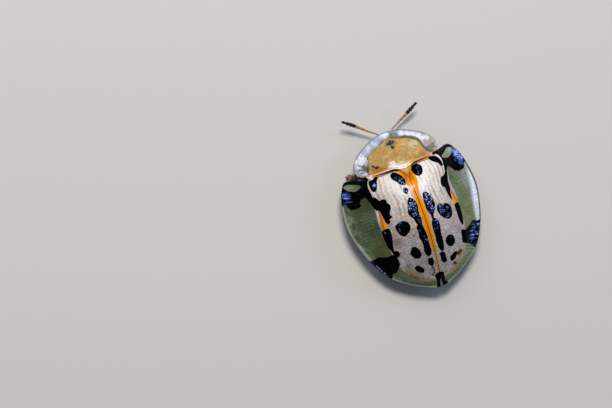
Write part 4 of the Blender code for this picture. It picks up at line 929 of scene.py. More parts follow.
def pronotumFinish():
    # the same cuticle, tan and clouded over the disc, and clear as glass round it, with painted lilac and white
    # reflections on the clear part
    made, tree, shader = newMaterial("glossyTanCuticle")
    n = partial(addNode, tree)
    where = n("place")
    fine = n("noise", where, 9000.0, 4.0)
    broad = n("noise", where, 1700.0, 5.0, 0.55, 0.6)
    small = n("noise", where, 3600.0, 6.0, 0.65)
    disc, rim, hind, right = (n("mark", attribute_name=key) for key in (
        "discEdge", "rimDistance", "hindDistance", "right"))
    fromMiddle = n("absolute", right)
    edge = wobbled(n, disc, broad, 0.16)
    onDisc = n("ramp", edge, -0.03, 0.03, 1.0, 0.0)
    lumpy = n("add", n("multiply_add", fine, 0.5, -0.25), n("multiply_add", small, 0.5, -0.25))
    spot = {key: n("add", n("mark", attribute_name=key), lumpy) for key in shieldSpots}

    def spotLayers(*rows):
        # each row: the spots, where their mask begins and ends, how strong it gets, and the colour
        return [(n("ramp", spot[key], low, high, 0.0, most), shade) for key, low, high, most, shade in rows]

    colour = painted(
        n, shield, shield["tan"],
        (n("ramp", small, 0.38, 0.66), "tanLight"), (n("ramp", broad, 0.5, 0.68, 0.0, 0.7), "olive"),
        *spotLayers(("cream", 0.15, 0.85, 0.8, "cream"), ("gold", 0.15, 0.85, 0.85, "gold"),
                    ("warm", 0.15, 0.9, 0.95, "orange"), ("pale", 0.2, 0.75, 0.85, "pale"),
                    ("smoke", 0.15, 0.75, 0.8, "smoke"), ("dark", 0.25, 0.5, 1.0, "dark")))
    # painted shade: an olive shadow on the clear shield along the front of the disc, wider on the right
    shadeLine = n("add", disc, n("multiply_add", small, 0.24, -0.24))
    edgeShade = n("multiply", n("ramp", shadeLine, 0.2, 0.02),
                  n("multiply", n("ramp", right, -0.3, 0.5, 0.35, 0.95), n("ramp", fromMiddle, 2.9, 2.5)))
    film = painted(
        n, shield, shield["clear"], (n("ramp", small, 0.42, 0.6, 0.0, 0.5), "clearSmoke"),
        *spotLayers(("lilac", 0.0, 0.9, 0.9, "lilac"), ("white", 0.0, 0.8, 0.85, "white"),
                    ("cornerSmoke", 0.2, 0.7, 0.95, "clearSmoke"), ("blush", 0.2, 0.7, 0.85, "blush"),
                    ("scratch", 0.26, 0.55, 0.9, "dark")),
        (edgeShade, "clearSmoke"))
    # painted shade: a dark line in the groove along the disc's edge, stronger to the right
    darkEdge = n("multiply", n("ramp", n("absolute", n("add", edge, -0.03)), 0.1, 0.02, 0.0, 0.75),
                 n("ramp", n("add", right, n("multiply", small, 3.0)), -0.5, 2.6, 0.4, 1.0))
    # the hind edge: orange, then a pale lip with a painted highlight, then a dark line
    inner = n("ramp", fromMiddle, 3.2, 2.8)
    ridge = n("multiply", n("ramp", hind, 0.34, 0.16, 0.0, 0.85), n("ramp", fromMiddle, 0.5, 1.2))
    lip = n("absolute", n("subtract", wobbled(n, hind, small, 0.1), 0.11))
    shine = n("multiply", n("ramp", lip, 0.05, 0.02), n("ramp", fine, 0.35, 0.55, 0.35, 1.0))
    shine = n("multiply", n("multiply", shine, n("ramp", right, 1.1, 0.4, 0.1, 1.0)), inner)
    darkLine = n("multiply", n("ramp", hind, 0.055, 0.035, 0.0, 0.97),
                 n("multiply", inner, n("ramp", fromMiddle, 0.35, 0.75, 0.25, 1.0)))
    colour = painted(n, shield, film, (onDisc, colour), (darkEdge, "outline"), (ridge, "hindRidge"),
                     (shine, "hindShine"), (darkLine, "hindLine"), (n("ramp", rim, 0.1, 0.05, 0.0, 0.7), "outline"))
    thin = n("ramp", spot["cornerSmoke"], 0.2, 0.75, 0.7, 0.55)
    for part in (n("ramp", spot["white"], 0.0, 0.8, 0.6, 0.9), n("ramp", spot["scratch"], 0.25, 0.6, 0.0, 0.8),
                 n("ramp", spot["blush"], 0.2, 0.7, 0.0, 0.8), darkEdge, shine, darkLine, edgeShade,
                 n("ramp", rim, 0.14, 0.06, 0.0, 0.8), onDisc):
        thin = n("maximum", thin, part)
    relief = n("multiply_add", fine, 0.5, n("multiply", broad, 0.8))
    feed(tree, shader, {
        "Base Color": colour, "Alpha": thin, "Normal": n("bump", relief, 0.35, 0.04 * mm),
        "Roughness": n("ramp", broad, 0.35, 0.7, 0.16, 0.34), "IOR": 1.5, "Coat Weight": 0.25, "Coat Roughness": 0.07})
    return made


# Body parts made of closed forms, in plan millimetres
def gridSolid(rings):
    # a closed form from rings of points, with a middle point at each end
    rings = np.asarray(rings, float)
    count, sides = rings.shape[:2]
    index = np.arange(count * sides).reshape(count, sides)
    a, b = index[:-1], np.roll(index[:-1], -1, axis=1)
    c, d = np.roll(index[1:], -1, axis=1), index[1:]
    faces = np.stack([a, b, c, d], -1).reshape(-1, 4).tolist()
    points = np.concatenate([rings.reshape(-1, 3), [rings[0].mean(0), rings[-1].mean(0)]])
    first, last = count * sides, count * sides + 1
    for i in range(sides):
        j = (i + 1) % sides
        faces.append([first, index[0, j], index[0, i]])
        faces.append([last, index[-1, i], index[-1, j]])
    return points, faces


def limb(stations, sides, steps):
    # a closed limb along stations of right, forward, height, half-width and half-thickness
    line = curveThrough(stations, np.linspace(0, 1, steps))
    centre = line[:, :3]
    ahead = np.gradient(centre, axis=0)
    ahead /= np.linalg.norm(ahead, axis=1, keepdims=True)
    side = np.cross((0, 0, 1.0), ahead)
    side /= np.linalg.norm(side, axis=1, keepdims=True)
    over = np.cross(ahead, side)
    turn = np.linspace(0, 2 * np.pi, sides, endpoint=False)
    rings = (centre[:, None] + side[:, None] * (line[:, 3, None] * np.cos(turn))[..., None]
             + over[:, None] * (line[:, 4, None] * np.sin(turn))[..., None])
    return gridSolid(rings)


def knob(centre, size, ahead=(0, 1, 0), sides=20, levels=12):
    # an egg form with its long axis ahead
    ahead = np.asarray(ahead, float) / np.linalg.norm(ahead)
    side = np.cross((0, 0, 1.0), ahead)
    side /= np.linalg.norm(side)
    over = np.cross(ahead, side)
    lift = np.linspace(-np.pi / 2, np.pi / 2, levels + 2)[1:-1]
    turn = np.linspace(0, 2 * np.pi, sides, endpoint=False)
    rings = (np.asarray(centre, float) + ahead * (size[1] * np.sin(lift))[:, None, None]
             + side * (size[0] * np.cos(lift)[:, None] * np.cos(turn))[..., None]
             + over * (size[2] * np.cos(lift)[:, None] * np.sin(turn))[..., None])
    return gridSolid(rings)


def bodyPiece(name, solids, finish):
    # joins closed forms into one mesh, each with its darkness and hairiness as one number or one for each point
    points, faces, marks, start = [], [], {"darkness": [], "hairiness": []}, 0
    for (corners, sides), *amounts in solids:
        points.append(corners)
        faces += [[k + start for k in side] for side in sides]
        for parts, amount in zip(marks.values(), amounts):
            parts.append(np.broadcast_to(amount, len(corners)))
        start += len(corners)
    mesh = bpy.data.meshes.new(name)
    mesh.from_pydata(place(*np.concatenate(points).T).tolist(), [], faces)
    setMarks(mesh, {key: np.concatenate(parts) for key, parts in marks.items()})
    faceOutward(mesh)
    mesh.materials.append(finish)
    return addObject(name, mesh)


# Geometry Nodes: a tree is built with its named inputs, run on a piece and turned into plain mesh
def newTree(name, inputs):
    # gives back the tree, and its inputs by name
    tree = bpy.data.node_groups.new(name, "GeometryNodeTree")
    tree.interface.new_socket("Geometry", in_out="INPUT", socket_type="NodeSocketGeometry")
    for label, (kind, value) in {**inputs, "finish": ("Material", None)}.items():
        socket = tree.interface.new_socket(label, in_out="INPUT", socket_type="NodeSocket" + kind)
        if kind != "Material":
            socket.default_value = value
    tree.interface.new_socket("Geometry", in_out="OUTPUT", socket_type="NodeSocketGeometry")
    return tree, tree.nodes.new("NodeGroupInput").outputs


def endTree(tree, made, given):
    # every tree ends the same way: smooth, real meshes with the finish on them
    smooth = addNode(tree, "GeometryNodeSetShadeSmooth", {"Geometry": made})
    real = addNode(tree, "GeometryNodeRealizeInstances", {"Geometry": smooth})
    last = addNode(tree, "GeometryNodeSetMaterial", {"Geometry": real, "Material": given["finish"]})
    tree.links.new(last, tree.nodes.new("NodeGroupOutput").inputs[0])
    return tree


def runTree(tree, source, name, values):
    # the result of the tree on a source piece, as a plain mesh piece
    modifier = source.modifiers.new(tree.name, "NODES")
    modifier.node_group = tree
    for item in tree.interface.items_tree:
        if item.in_out == "INPUT" and item.name in values:
            modifier[item.identifier] = values[item.name]
    graph = bpy.context.evaluated_depsgraph_get()
    mesh = bpy.data.meshes.new_from_object(source.evaluated_get(graph))
    source.modifiers.remove(modifier)
    mesh.name = name
    return addObject(name, mesh)


def pathPiece(name, points, marks):
    # a bare line of edges that a tree follows, with its place in plan millimetres
    mesh = bpy.data.meshes.new(name)
    mesh.from_pydata(place(*np.asarray(points, float).T).tolist(), [(i, i + 1) for i in range(len(points) - 1)], [])
    setMarks(mesh, marks)
    return addObject(name, mesh)


def beadTree():
    # a round bead along a path
    tree, given = newTree("beadAlongPath", {"radius": ("Float", 0.05 * mm), "sides": ("Int", 10)})
    curve = addNode(tree, "GeometryNodeMeshToCurve", {"Mesh": given["Geometry"]})
    ring = addNode(tree, "GeometryNodeCurvePrimitiveCircle", {"Resolution": given["sides"], "Radius": given["radius"]})
    bead = addNode(tree, "GeometryNodeCurveToMesh", {"Curve": curve, "Profile Curve": ring, "Fill Caps": True})
    return endTree(tree, bead, given)


def hairTree():
    # short stiff hairs, dense where the piece's hairiness is high, each leaning its own way
    tree, given = newTree("stiffHairs", {
        "density": ("Float", 1e8), "length": ("Float", 0.1 * mm), "thickness": ("Float", 0.006 * mm),
        "lean": ("Float", 0.6), "seed": ("Int", 1)})
    where = addNode(tree, "GeometryNodeInputNamedAttribute", {"Name": "hairiness"}, data_type="FLOAT")
    density = addNode(tree, "multiply", given["density"], where)
    points = addNode(tree, "GeometryNodeDistributePointsOnFaces", {
        "Mesh": given["Geometry"], "Density": density, "Seed": given["seed"]})
    hair = addNode(tree, "GeometryNodeMeshCone", {
        "Vertices": 4, "Radius Top": 0.0, "Radius Bottom": given["thickness"], "Depth": given["length"],
        "Side Segments": 1, "Fill Segments": 1})
    tilt = addNode(tree, "FunctionNodeRandomValue", {
        0: (-1.0, -1.0, -1.0), 1: (1.0, 1.0, 1.0), "Seed": given["seed"]}, data_type="FLOAT_VECTOR")
    sway = addNode(tree, "ShaderNodeVectorMath", {0: tilt, "Scale": given["lean"]}, operation="SCALE")
    aim = addNode(tree, "ShaderNodeVectorMath", {0: points.node.outputs["Normal"], 1: sway}, operation="ADD")
    turned = addNode(tree, "FunctionNodeAlignRotationToVector", {"Vector": aim}, axis="Z")
    size = addNode(tree, "FunctionNodeRandomValue", {2: 0.6, 3: 1.15, "Seed": given["seed"]},
                   data_type="FLOAT", output=1)
    planted = addNode(tree, "GeometryNodeInstanceOnPoints", {
        "Points": points, "Instance": hair, "Rotation": turned, "Scale": size})
    return endTree(tree, planted, given)


def segmentTree():
    # a chain of barrel-shaped joints: one on each point, turned along its direction and sized by its attributes
    tree, given = newTree("jointedFeeler", {"sides": ("Int", 14)})
    line = addNode(tree, "GeometryNodeCurvePrimitiveLine", {"Start": (0.0, 0.0, -0.5), "End": (0.0, 0.0, 0.5)})
    fine = addNode(tree, "GeometryNodeResampleCurve", {"Curve": line, "Count": 11})
    share = addNode(tree, "GeometryNodeSplineParameter")
    # narrow at the root, widest near the tip, rounded off at both ends
    swell = addNode(tree, "ShaderNodeFloatCurve", {"Value": share})
    curve = swell.node.mapping.curves[0]
    for at, height in ((0.08, 0.74), (0.25, 0.82), (0.7, 1.0), (0.92, 0.92)):
        curve.points.new(at, height)
    curve.points[0].location = (0.0, 0.5)
    curve.points[-1].location = (1.0, 0.6)
    swell.node.mapping.update()
    ring = addNode(tree, "GeometryNodeCurvePrimitiveCircle", {"Resolution": given["sides"], "Radius": 1.0})
    barrel = addNode(tree, "GeometryNodeCurveToMesh", {
        "Curve": fine, "Profile Curve": ring, "Scale": swell, "Fill Caps": True})
    ahead, size = (addNode(tree, "GeometryNodeInputNamedAttribute", {"Name": name}, data_type="FLOAT_VECTOR")
                   for name in ("ahead", "size"))
    turned = addNode(tree, "FunctionNodeAlignRotationToVector", {"Vector": ahead}, axis="Z")
    points = addNode(tree, "GeometryNodeMeshToPoints", {"Mesh": given["Geometry"]})
    chain = addNode(tree, "GeometryNodeInstanceOnPoints", {
        "Points": points, "Instance": barrel, "Rotation": turned, "Scale": size})
    return endTree(tree, chain, given)


def lensTree():
    # the small lenses of a compound eye, one on each point of the eyeball
    tree, given = newTree("eyeLenses", {"lensSize": ("Float", 0.022 * mm)})
    lens = addNode(tree, "GeometryNodeMeshIcoSphere", {"Radius": given["lensSize"], "Subdivisions": 2})
    normal = addNode(tree, "GeometryNodeInputNormal")
    turned = addNode(tree, "FunctionNodeAlignRotationToVector", {"Vector": normal}, axis="Z")
    lenses = addNode(tree, "GeometryNodeInstanceOnPoints", {
        "Points": given["Geometry"], "Instance": lens, "Rotation": turned, "Scale": (1.0, 1.0, 0.55)})
    together = addNode(tree, "GeometryNodeJoinGeometry", {0: given["Geometry"]})
    tree.links.new(lenses, together.node.inputs[0])
    return endTree(tree, together, given)


# Finishes of the body
chitins = {
    # colour where thin and where thick, roughness and coat
    "amberLimbChitin": ("#A9743C", "#5A3216", 0.34, 0.25),
    "brownBellyChitin": ("#8E5E30", "#2A1810", 0.36, 0.2),
    "orangePlateChitin": ("#D08418", "#8A4A08", 0.45, 0.05),
    "paleRimChitin": ("#DCD2AE", "#1E221A", 0.25, 0.4),
    "darkRimChitin": ("#8C8A86", "#2E2A26", 0.25, 0.4),
    "goldHairChitin": ("#D8B27A", "#A87C44", 0.4, 0.0),
    "darkHairChitin": ("#2A2220", "#120E0E", 0.45, 0.0),
}


def chitinFinish(name):
    # a limb's or belly's hard horn-like skin: amber where thin, darker where thick, with a fine net of pits
    light, dark, roughness, coat = chitins[name]
    made, tree, shader = newMaterial(name)
    n = partial(addNode, tree)
    where = n("place")
    shade = n("add", n("noise", where, 1800.0, 5.0), n("mark", attribute_name="darkness"))
    feed(tree, shader, {
        "Base Color": n("mix", n("ramp", shade, 0.3, 1.3), light, dark),
        "Normal": n("bump", n("cells", where, 16000.0), 0.3, 0.02 * mm),      # cells of about 0.06 mm
        "Roughness": roughness, "IOR": 1.56, "Coat Weight": coat, "Coat Roughness": 0.2,
        "Subsurface Weight": 0.15, "Subsurface Scale": 0.2 * mm})
    return made


# Legs
legs = {
    "floorPress": 0.06,     # height in mm under which hairs give way
    "places": {
        "front_left": (-1, (0.72, 4.85, 1.16), (2.2, 5.62, 1.32), (3.2, 5.0, 0.42), (4.38, 5.2, 0.2)),
        "front_right": (1, (0.72, 4.85, 1.16), (2.25, 5.5, 1.32), (2.45, 4.35, 0.42), (3.35, 3.95, 0.2)),
        "middle_left": (-1, (0.95, 2.7, 1.14), (2.95, 2.45, 1.36), (2.8, 1.3, 0.42), (3.4, 0.5, 0.2)),
        "middle_right": (1, (0.95, 2.7, 1.14), (2.95, 2.35, 1.36), (2.85, 1.2, 0.42), (3.42, 0.38, 0.2)),
        "hind_left": (-1, (1.15, 0.7, 1.14), (2.85, -0.95, 1.36), (2.45, -2.1, 0.42), (2.85, -3.1, 0.2)),
        "hind_right": (1, (1.15, 0.7, 1.14), (2.85, -1.05, 1.36), (2.5, -2.2, 0.42), (2.95, -3.15, 0.2)),
    },
    "hip": (0.4, 0.42, 0.32), "hipRing": (0.24, 0.26, 0.22), "hipRingShare": 0.2, "thighDepth": 0.85,
    "thigh": ((0.1, 0.2), (0.22, 0.25), (0.5, 0.31), (0.75, 0.27), (0.95, 0.19), (1.03, 0.13), (1.06, 0.05)),
    "shin": ((-0.06, 0.05), (-0.02, 0.13), (0.1, 0.15), (0.45, 0.155), (0.8, 0.18), (0.97, 0.2), (1.02, 0.12)),
    "padShares": (-0.1, 0.17, 0.46),       # where each foot joint starts along ankle to toe
    "padHalfWidths": (0.2, 0.27, 0.22),
    "padLengths": (0.34, 0.36, 0.46),
    "lobeSpreads": (0.06, 0.1, 0.19),
    # width along a lobe, and along the claw joint, from root to tip
    "lobe": ((0.0, 0.3), (0.12, 0.62), (0.45, 0.95), (0.75, 1.0), (0.93, 0.7), (1.0, 0.25)),
    "clawJoint": ((0, 0.03), (0.1, 0.06), (0.6, 0.075), (0.95, 0.09), (1.0, 0.03)),
    "claw": ((0, 1.1), (0.3, 1.0), (0.6, 0.8), (0.85, 0.45), (1.0, 0.12)),
    "padTop": 0.27,
    "lobeStart": 0.03, "lobeWidth": 0.72,
    "soleGap": 0.005, "rootRise": 0.04,      # how high the soles are over the floor, and how much the roots rise
    "clawJointEnds": ((0.5, 0.24), (0.88, 0.27)),      # share of the foot's length, and height
    "clawReach": 0.98, "clawRadius": 0.045, "clawDepth": 1.2, "clawSpread": 0.2, "clawLift": 0.02,
    "clawBend": (0.6, 0.05, 0.07),      # where a claw bends, and how far outward and upward
    "hairs": {"density": 7e8, "length": 0.12 * mm, "thickness": 0.0065 * mm, "lean": 0.5},
}


def footSolids(ankle, toe):
    # two small pads, a last one split into two lobes, the claw joint rising from its notch and a pair of claws
    walk = np.array([toe[0] - ankle[0], toe[1] - ankle[1], 0])
    reach = np.linalg.norm(walk)
    ahead = walk / reach
    level = np.array([ahead[1], -ahead[0], 0])
    ground = np.array([ankle[0], ankle[1], 0.0])
    half = legs["padTop"] / 2
    solids = []
    pads = zip(legs["padShares"], legs["padHalfWidths"], legs["padLengths"], legs["lobeSpreads"])
    for i, (share, wide, length, spread) in enumerate(pads):
        root = ground + ahead * reach * share
        for lean in (-1, 1):
            # each joint is heart-shaped: two lobes that part towards the tip
            start = root + level * lean * legs["lobeStart"]
            tip = root + ahead * length + level * lean * spread
            rows = []
            for t, w in legs["lobe"]:
                middle = start + (tip - start) * t
                thick = half * (0.55 + 0.45 * min(1, w * 1.1)) * (0.6 if t in (0.0, 1.0) else 1)
                rise = half + legs["soleGap"] + legs["rootRise"] * (1 - t)
                rows.append((*middle[:2], rise, wide * w * legs["lobeWidth"], thick))
            solids.append((limb(rows, 18, 18), 0.1 + 0.1 * i, 0.8))
    stemStart, stemEnd = (ground + ahead * reach * share + (0, 0, height) for share, height in legs["clawJointEnds"])
    rows = [(*(stemStart + (stemEnd - stemStart) * t), w, w) for t, w in legs["clawJoint"]]
    solids.append((limb(rows, 14, 16), 0.3, 0.15))
    for lean in (-1, 1):
        tip = ground + ahead * reach * legs["clawReach"] + level * lean * legs["clawSpread"] + (0, 0, legs["clawLift"])
        share, outward, upward = legs["clawBend"]
        bend = stemEnd + (tip - stemEnd) * share + level * lean * outward + (0, 0, upward)
        rows = []
        for t, w in legs["claw"]:
            middle = (1 - t) ** 2 * stemEnd + 2 * t * (1 - t) * bend + t * t * tip
            rows.append((*middle, legs["clawRadius"] * w, legs["clawRadius"] * w * legs["clawDepth"]))
        solids.append((limb(rows, 10, 14), 0.9, 0.0))
    return solids


def makeLeg(name, finish, hairs, hairFinish):
    side, hip, knee, ankle, toe = legs["places"][name]
    hip, knee, ankle, toe = (np.array((side * p[0], p[1], p[2])) for p in (hip, knee, ankle, toe))
    outward = knee - hip
    shin = ankle - knee
    thighRows = [(*(hip + outward * t), r, r * legs["thighDepth"]) for t, r in legs["thigh"]]
    shinRows = [(*(knee + shin * t), r, r) for t, r in legs["shin"]]
    solids = [(knob(hip, legs["hip"], outward), 0.35, 0.1),
              (knob(hip + outward * legs["hipRingShare"], legs["hipRing"], outward), 0.2, 0.1),
              (limb(thighRows, 26, 40), 0.1, 0.25), (limb(shinRows, 22, 36), 0.15, 0.5)]
    solids += footSolids(ankle, toe)
    words = name.split("_")
    label = "leg" + words[0].capitalize() + words[1].capitalize()
    piece = bodyPiece(label, solids, finish)
    fuzz = runTree(hairs, piece, label + "Hairs", {**legs["hairs"], "seed": len(name), "finish": hairFinish})
    # hairs under the soles are pressed flat on the floor
    points = np.empty(len(fuzz.data.vertices) * 3, np.float32)
    fuzz.data.vertices.foreach_get("co", points)
    height, near = points[2::3], legs["floorPress"] * mm
    points[2::3] = np.where(height < near, near * np.exp(np.minimum(height, near) / near - 1), height)
    fuzz.data.vertices.foreach_set("co", points)
    for part in (piece, fuzz):
        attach(part, "root")
    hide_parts("leg_" + name)


# Antennae
antennae = {
    "paths": {
        "left": ((-0.28, 6.72, 1.1), (-0.3, 7.2, 0.95), (-0.42, 7.76, 0.8), (-1.0, 8.18, 0.83), (-2.1, 9.12, 1.02),
                 (-3.13, 9.88, 1.27)),
        "right": ((0.28, 6.72, 1.1), (0.36, 7.15, 0.95), (0.72, 7.74, 0.8), (1.4, 8.11, 0.84), (2.5, 8.65, 1.02),
                  (3.58, 9.22, 1.27)),
    },
    # of each joint from the head out: share of the length and half-thickness in mm
    "joints": ((1.5, 0.13), (0.55, 0.09), (1.0, 0.075), (1.0, 0.08), (1.0, 0.095), (0.9, 0.115), (0.95, 0.13),
               (0.65, 0.16), (0.6, 0.165), (0.6, 0.15), (0.9, 0.11)),
    # tint of each joint: 0 pale tan, 0.5 orange-brown, 1 black
    "tints": (0, 0, 0, 0, 0.15, 0.5, 0.5, 1, 1, 1, 1),
    "overlap": 1.1,      # how much longer each joint is than its share, so that it sits in the next
    "hairiness": 0.25, "clubHairiness": 0.9,
    "hairs": {"density": 9e8, "length": 0.045 * mm, "thickness": 0.003 * mm, "lean": 0.5, "seed": 4},
}


def makeAntenna(side, tree, finish, hairs, hairFinish):
    s = antennae
    shares, radii = np.array(s["joints"]).T
    ends = np.append(0, np.cumsum(shares))
    corners = curveThrough(s["paths"][side], ends / ends[-1])
    middles = (corners[1:] + corners[:-1]) / 2
    ahead = np.diff(corners, axis=0)
    lengths = np.linalg.norm(ahead, axis=1)
    tints = np.float32(s["tints"])
    path = pathPiece("antennaPath", middles, {
        "tint": tints, "hairiness": np.where(tints == 1, s["clubHairiness"], s["hairiness"])})
    sizes = np.stack([radii, radii, lengths * s["overlap"]], -1) * mm
    setMarks(path.data, {"ahead": ahead / lengths[:, None] * (-1, -1, 1), "size": sizes}, "FLOAT_VECTOR")
    piece = runTree(tree, path, "antenna" + side.capitalize(), {"sides": 16, "finish": finish})
    bpy.data.objects.remove(path)
    fuzz = runTree(hairs, piece, piece.name + "Hairs", {**s["hairs"], "finish": hairFinish})
    for part in (piece, fuzz):
        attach(part, "root")
    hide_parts("antenna_" + side)


def antennaFinish():
    # thin tan-pink horn, the last four joints black and velvety
    made, tree, shader = newMaterial("tanFeelerChitin")
    n = partial(addNode, tree)
    cloud = n("noise", n("place"), 2500.0, 4.0)
    tint = n("mark", attribute_name="tint")
    base = n("mix", n("ramp", tint, 0.0, 0.5), n("mix", cloud, "#C9A98C", "#93705A"), "#B07C48")
    base = n("mix", n("ramp", tint, 0.5, 1.0), base, "#040408")
    feed(tree, shader, {"Base Color": base, "Roughness": n("ramp", tint, 0.5, 1.0, 0.35, 0.7),
                        "Normal": n("bump", cloud, 0.3, 0.02 * mm), "IOR": 1.56})
    return made


# Head and eyes
head = {
    "centre": (0, 6.1, 1.36), "size": (1.15, 0.82, 0.56),
    "eye": (1.14, 6.25, 1.38), "eyeSize": (0.25, 0.34, 0.36),
    "eyeballShare": 0.95,      # the ball inside the lenses, as a share of the eye
    "columns": 96, "rows": 64,
    "faceShield": (0.07, 0.42, -0.22, 0.3),      # height, half-width, place up the face, half-height
    # the brow groove, both sockets and the groove by each eye: depth, place across and up, half-width, half-height
    "dents": ((0.035, 0, 0.25, 0.035, 0.35), (0.07, -0.28, -0.2, 0.13, 0.12), (0.07, 0.28, -0.2, 0.13, 0.12),
              (0.05, -0.86, 0, 0.08, math.inf), (0.05, 0.86, 0, 0.08, math.inf)),
    # a groove that slants over each side of the face: depth, place across, slope, half-width, place up, half-height
    "slantGroove": (0.06, 0.425, 0.35, 0.03, -0.15, 0.3),
    # stations of a jaw, and both ends of each palp joint, on the right side
    "jaw": ((0.34, 6.5, 0.92, 0.13, 0.12), (0.36, 6.68, 0.84, 0.13, 0.11), (0.24, 6.82, 0.79, 0.1, 0.08),
            (0.06, 6.86, 0.77, 0.04, 0.04), (0.02, 6.86, 0.77, 0.015, 0.015)),
    "palp": ((0.48, 6.45, 0.84), (0.56, 6.58, 0.79), (0.56, 6.6, 0.79), (0.6, 6.78, 0.755), (0.6, 6.8, 0.755),
             (0.54, 6.98, 0.76)),
    # centre, half-sizes and direction of the upper lip, of the right half of the lower lip and of the chin
    "lip": ((0, 6.72, 0.86), (0.3, 0.2, 0.07), (0, 1, -0.5)),
    "lowerLip": ((0.2, 6.6, 0.78), (0.06, 0.14, 0.05), (0.3, 1, -0.2)),
    "chin": ((0, 6.42, 0.84), (0.42, 0.3, 0.12), (0, 1, -0.1)),
    "palpJoint": ((0, 0.025), (0.15, 0.05), (0.7, 0.065), (0.95, 0.045), (1, 0.015)),
    "hairs": {"density": 4e8, "length": 0.07 * mm, "thickness": 0.004 * mm, "lean": 0.5, "seed": 9},
}


def headForm():
    # the head capsule: an egg with a raised face shield, and sockets and grooves pressed into its front
    s = head
    lift = np.linspace(-np.pi / 2, np.pi / 2, s["rows"] + 2)[1:-1]
    turn = np.linspace(0, 2 * np.pi, s["columns"], endpoint=False)
    lift, turn = np.meshgrid(lift, turn, indexing="ij")
    direction = np.stack([np.sin(lift), np.cos(lift) * np.cos(turn), np.cos(lift) * np.sin(turn)], -1)
    points = direction * s["size"]
    x, y, z = points[..., 0], points[..., 1], points[..., 2]
    height, wide, up, tall = s["faceShield"]
    push = height * np.exp(-(x / wide) ** 4 - ((z - up) / tall) ** 4)
    for depth, across, up, wide, tall in s["dents"]:
        push -= depth * bell((x - across) / wide, (z - up) / tall)
    depth, across, slope, wide, up, tall = s["slantGroove"]
    push -= depth * bell((np.abs(x) - across + slope * z) / wide, (z - up) / tall)
    front = np.clip(y * 2, 0, 1)
    return gridSolid(points + direction * (push * front)[..., None] + s["centre"])


def makeHead(finish, eyeFinish, lenses, hairs, hairFinish):
    # the capsule, upper lip, jaws, the jointed palps that hang beside the mouth, lower lip and chin
    solids = [(headForm(), 0.15, 0.06), (knob(*head["lip"]), 0.3, 0.4)]
    centre, size, ahead = head["lowerLip"]
    for side in (-1, 1):
        mirror = (side, 1, 1)
        rows = [(side * x, *others) for x, *others in head["jaw"]]
        solids.append((limb(rows, 16, 20), 0.7, 0.0))
        for i, (start, end) in enumerate(zip(head["palp"][::2], head["palp"][1::2])):
            start, end = np.array(start) * mirror, np.array(end) * mirror
            rows = [(*(start + (end - start) * t), w, w) for t, w in head["palpJoint"]]
            solids.append((limb(rows, 12, 12), 0.1 + 0.15 * i, 0.3))
        solids.append((knob(np.multiply(centre, mirror), size, np.multiply(ahead, mirror)), 0.2, 0.2))
    solids.append((knob(*head["chin"]), 0.5, 0.1))
    piece = bodyPiece("headCapsule", solids, finish)
    fuzz = runTree(hairs, piece, "headHairs", {**head["hairs"], "finish": hairFinish})
    for part in (piece, fuzz):
        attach(part, "root")
    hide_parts("head")
    for side, name in ((-1, "left"), (1, "right")):
        x, y, z = head["eye"]
        ball = bmesh.new()
        bmesh.ops.create_icosphere(ball, subdivisions=4, radius=1)
        mesh = bpy.data.meshes.new("eyeball")
        ball.to_mesh(mesh)
        ball.free()
        source = addObject("eyeball", mesh)
        middle = Vector(place(side * x, y, z))
        for vertex in mesh.vertices:
            vertex.co = middle + Vector([c * s * mm * head["eyeballShare"] for c, s in zip(vertex.co, head["eyeSize"])])
        eye = runTree(lenses, source, "compoundEye" + name.capitalize(), {"finish": eyeFinish})
        bpy.data.objects.remove(source)
        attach(eye, "root")
        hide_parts("eye_" + name)


def eyeFinish():
    # compound eye: hundreds of smooth lenses over black-brown pigment, so it twinkles in fine points
    made, tree, shader = newMaterial("lensedEyeCuticle")
    cloud = addNode(tree, "noise", addNode(tree, "place"), 1500.0, 3.0)
    feed(tree, shader, {"Base Color": addNode(tree, "mix", cloud, "#050406", "#2A1812"), "Roughness": 0.12,
                        "IOR": 1.56, "Coat Weight": 0.6})
    return made


# Underside
underside = {
    # forward, half-width, top and belly height in mm
    "sections": ((5.3, 0.7, 2.7, 2.1), (5.2, 1.25, 2.75, 1.85), (4.9, 1.75, 2.95, 1.68), (3.9, 2.5, 3.5, 1.6),
                 (2.4, 2.78, 4.0, 1.55), (0.9, 2.75, 4.15, 1.55), (-0.4, 2.7, 4.1, 1.68), (-1.4, 2.64, 3.85, 1.74),
                 (-2.7, 2.4, 3.3, 1.76), (-3.9, 1.88, 2.62, 1.82), (-4.55, 1.3, 2.25, 1.9), (-4.85, 0.5, 2.1, 1.98)),
    "flank": 2.12, "bellyPower": 3.2, "backPower": 2.5,      # height of the sides, and how full both curves are
    "rows": 190, "bellyColumns": 110, "topColumns": 30,
    "ringLines": (-0.2, -1.35, -2.2, -3.0, -3.75),   # joins of the five belly plates at the midline
    "ringBow": 0.35, "ringDepth": 0.07, "plateStep": 0.035,
    "sternumLines": (3.95, 2.95, 1.0), "grooveDepth": 0.05,
    "coxae": ((0.72, 4.85), (0.95, 2.7), (1.15, 0.7)),     # the pits that the legs come out of
    "coxaPit": (0.26, 0.52, 0.06, 0.58, 0.08),      # its depth and radius, its rim's height, radius and half-width
    "hairs": {"density": 1.2e8, "length": 0.08 * mm, "thickness": 0.0045 * mm, "lean": 0.8, "seed": 12},
}


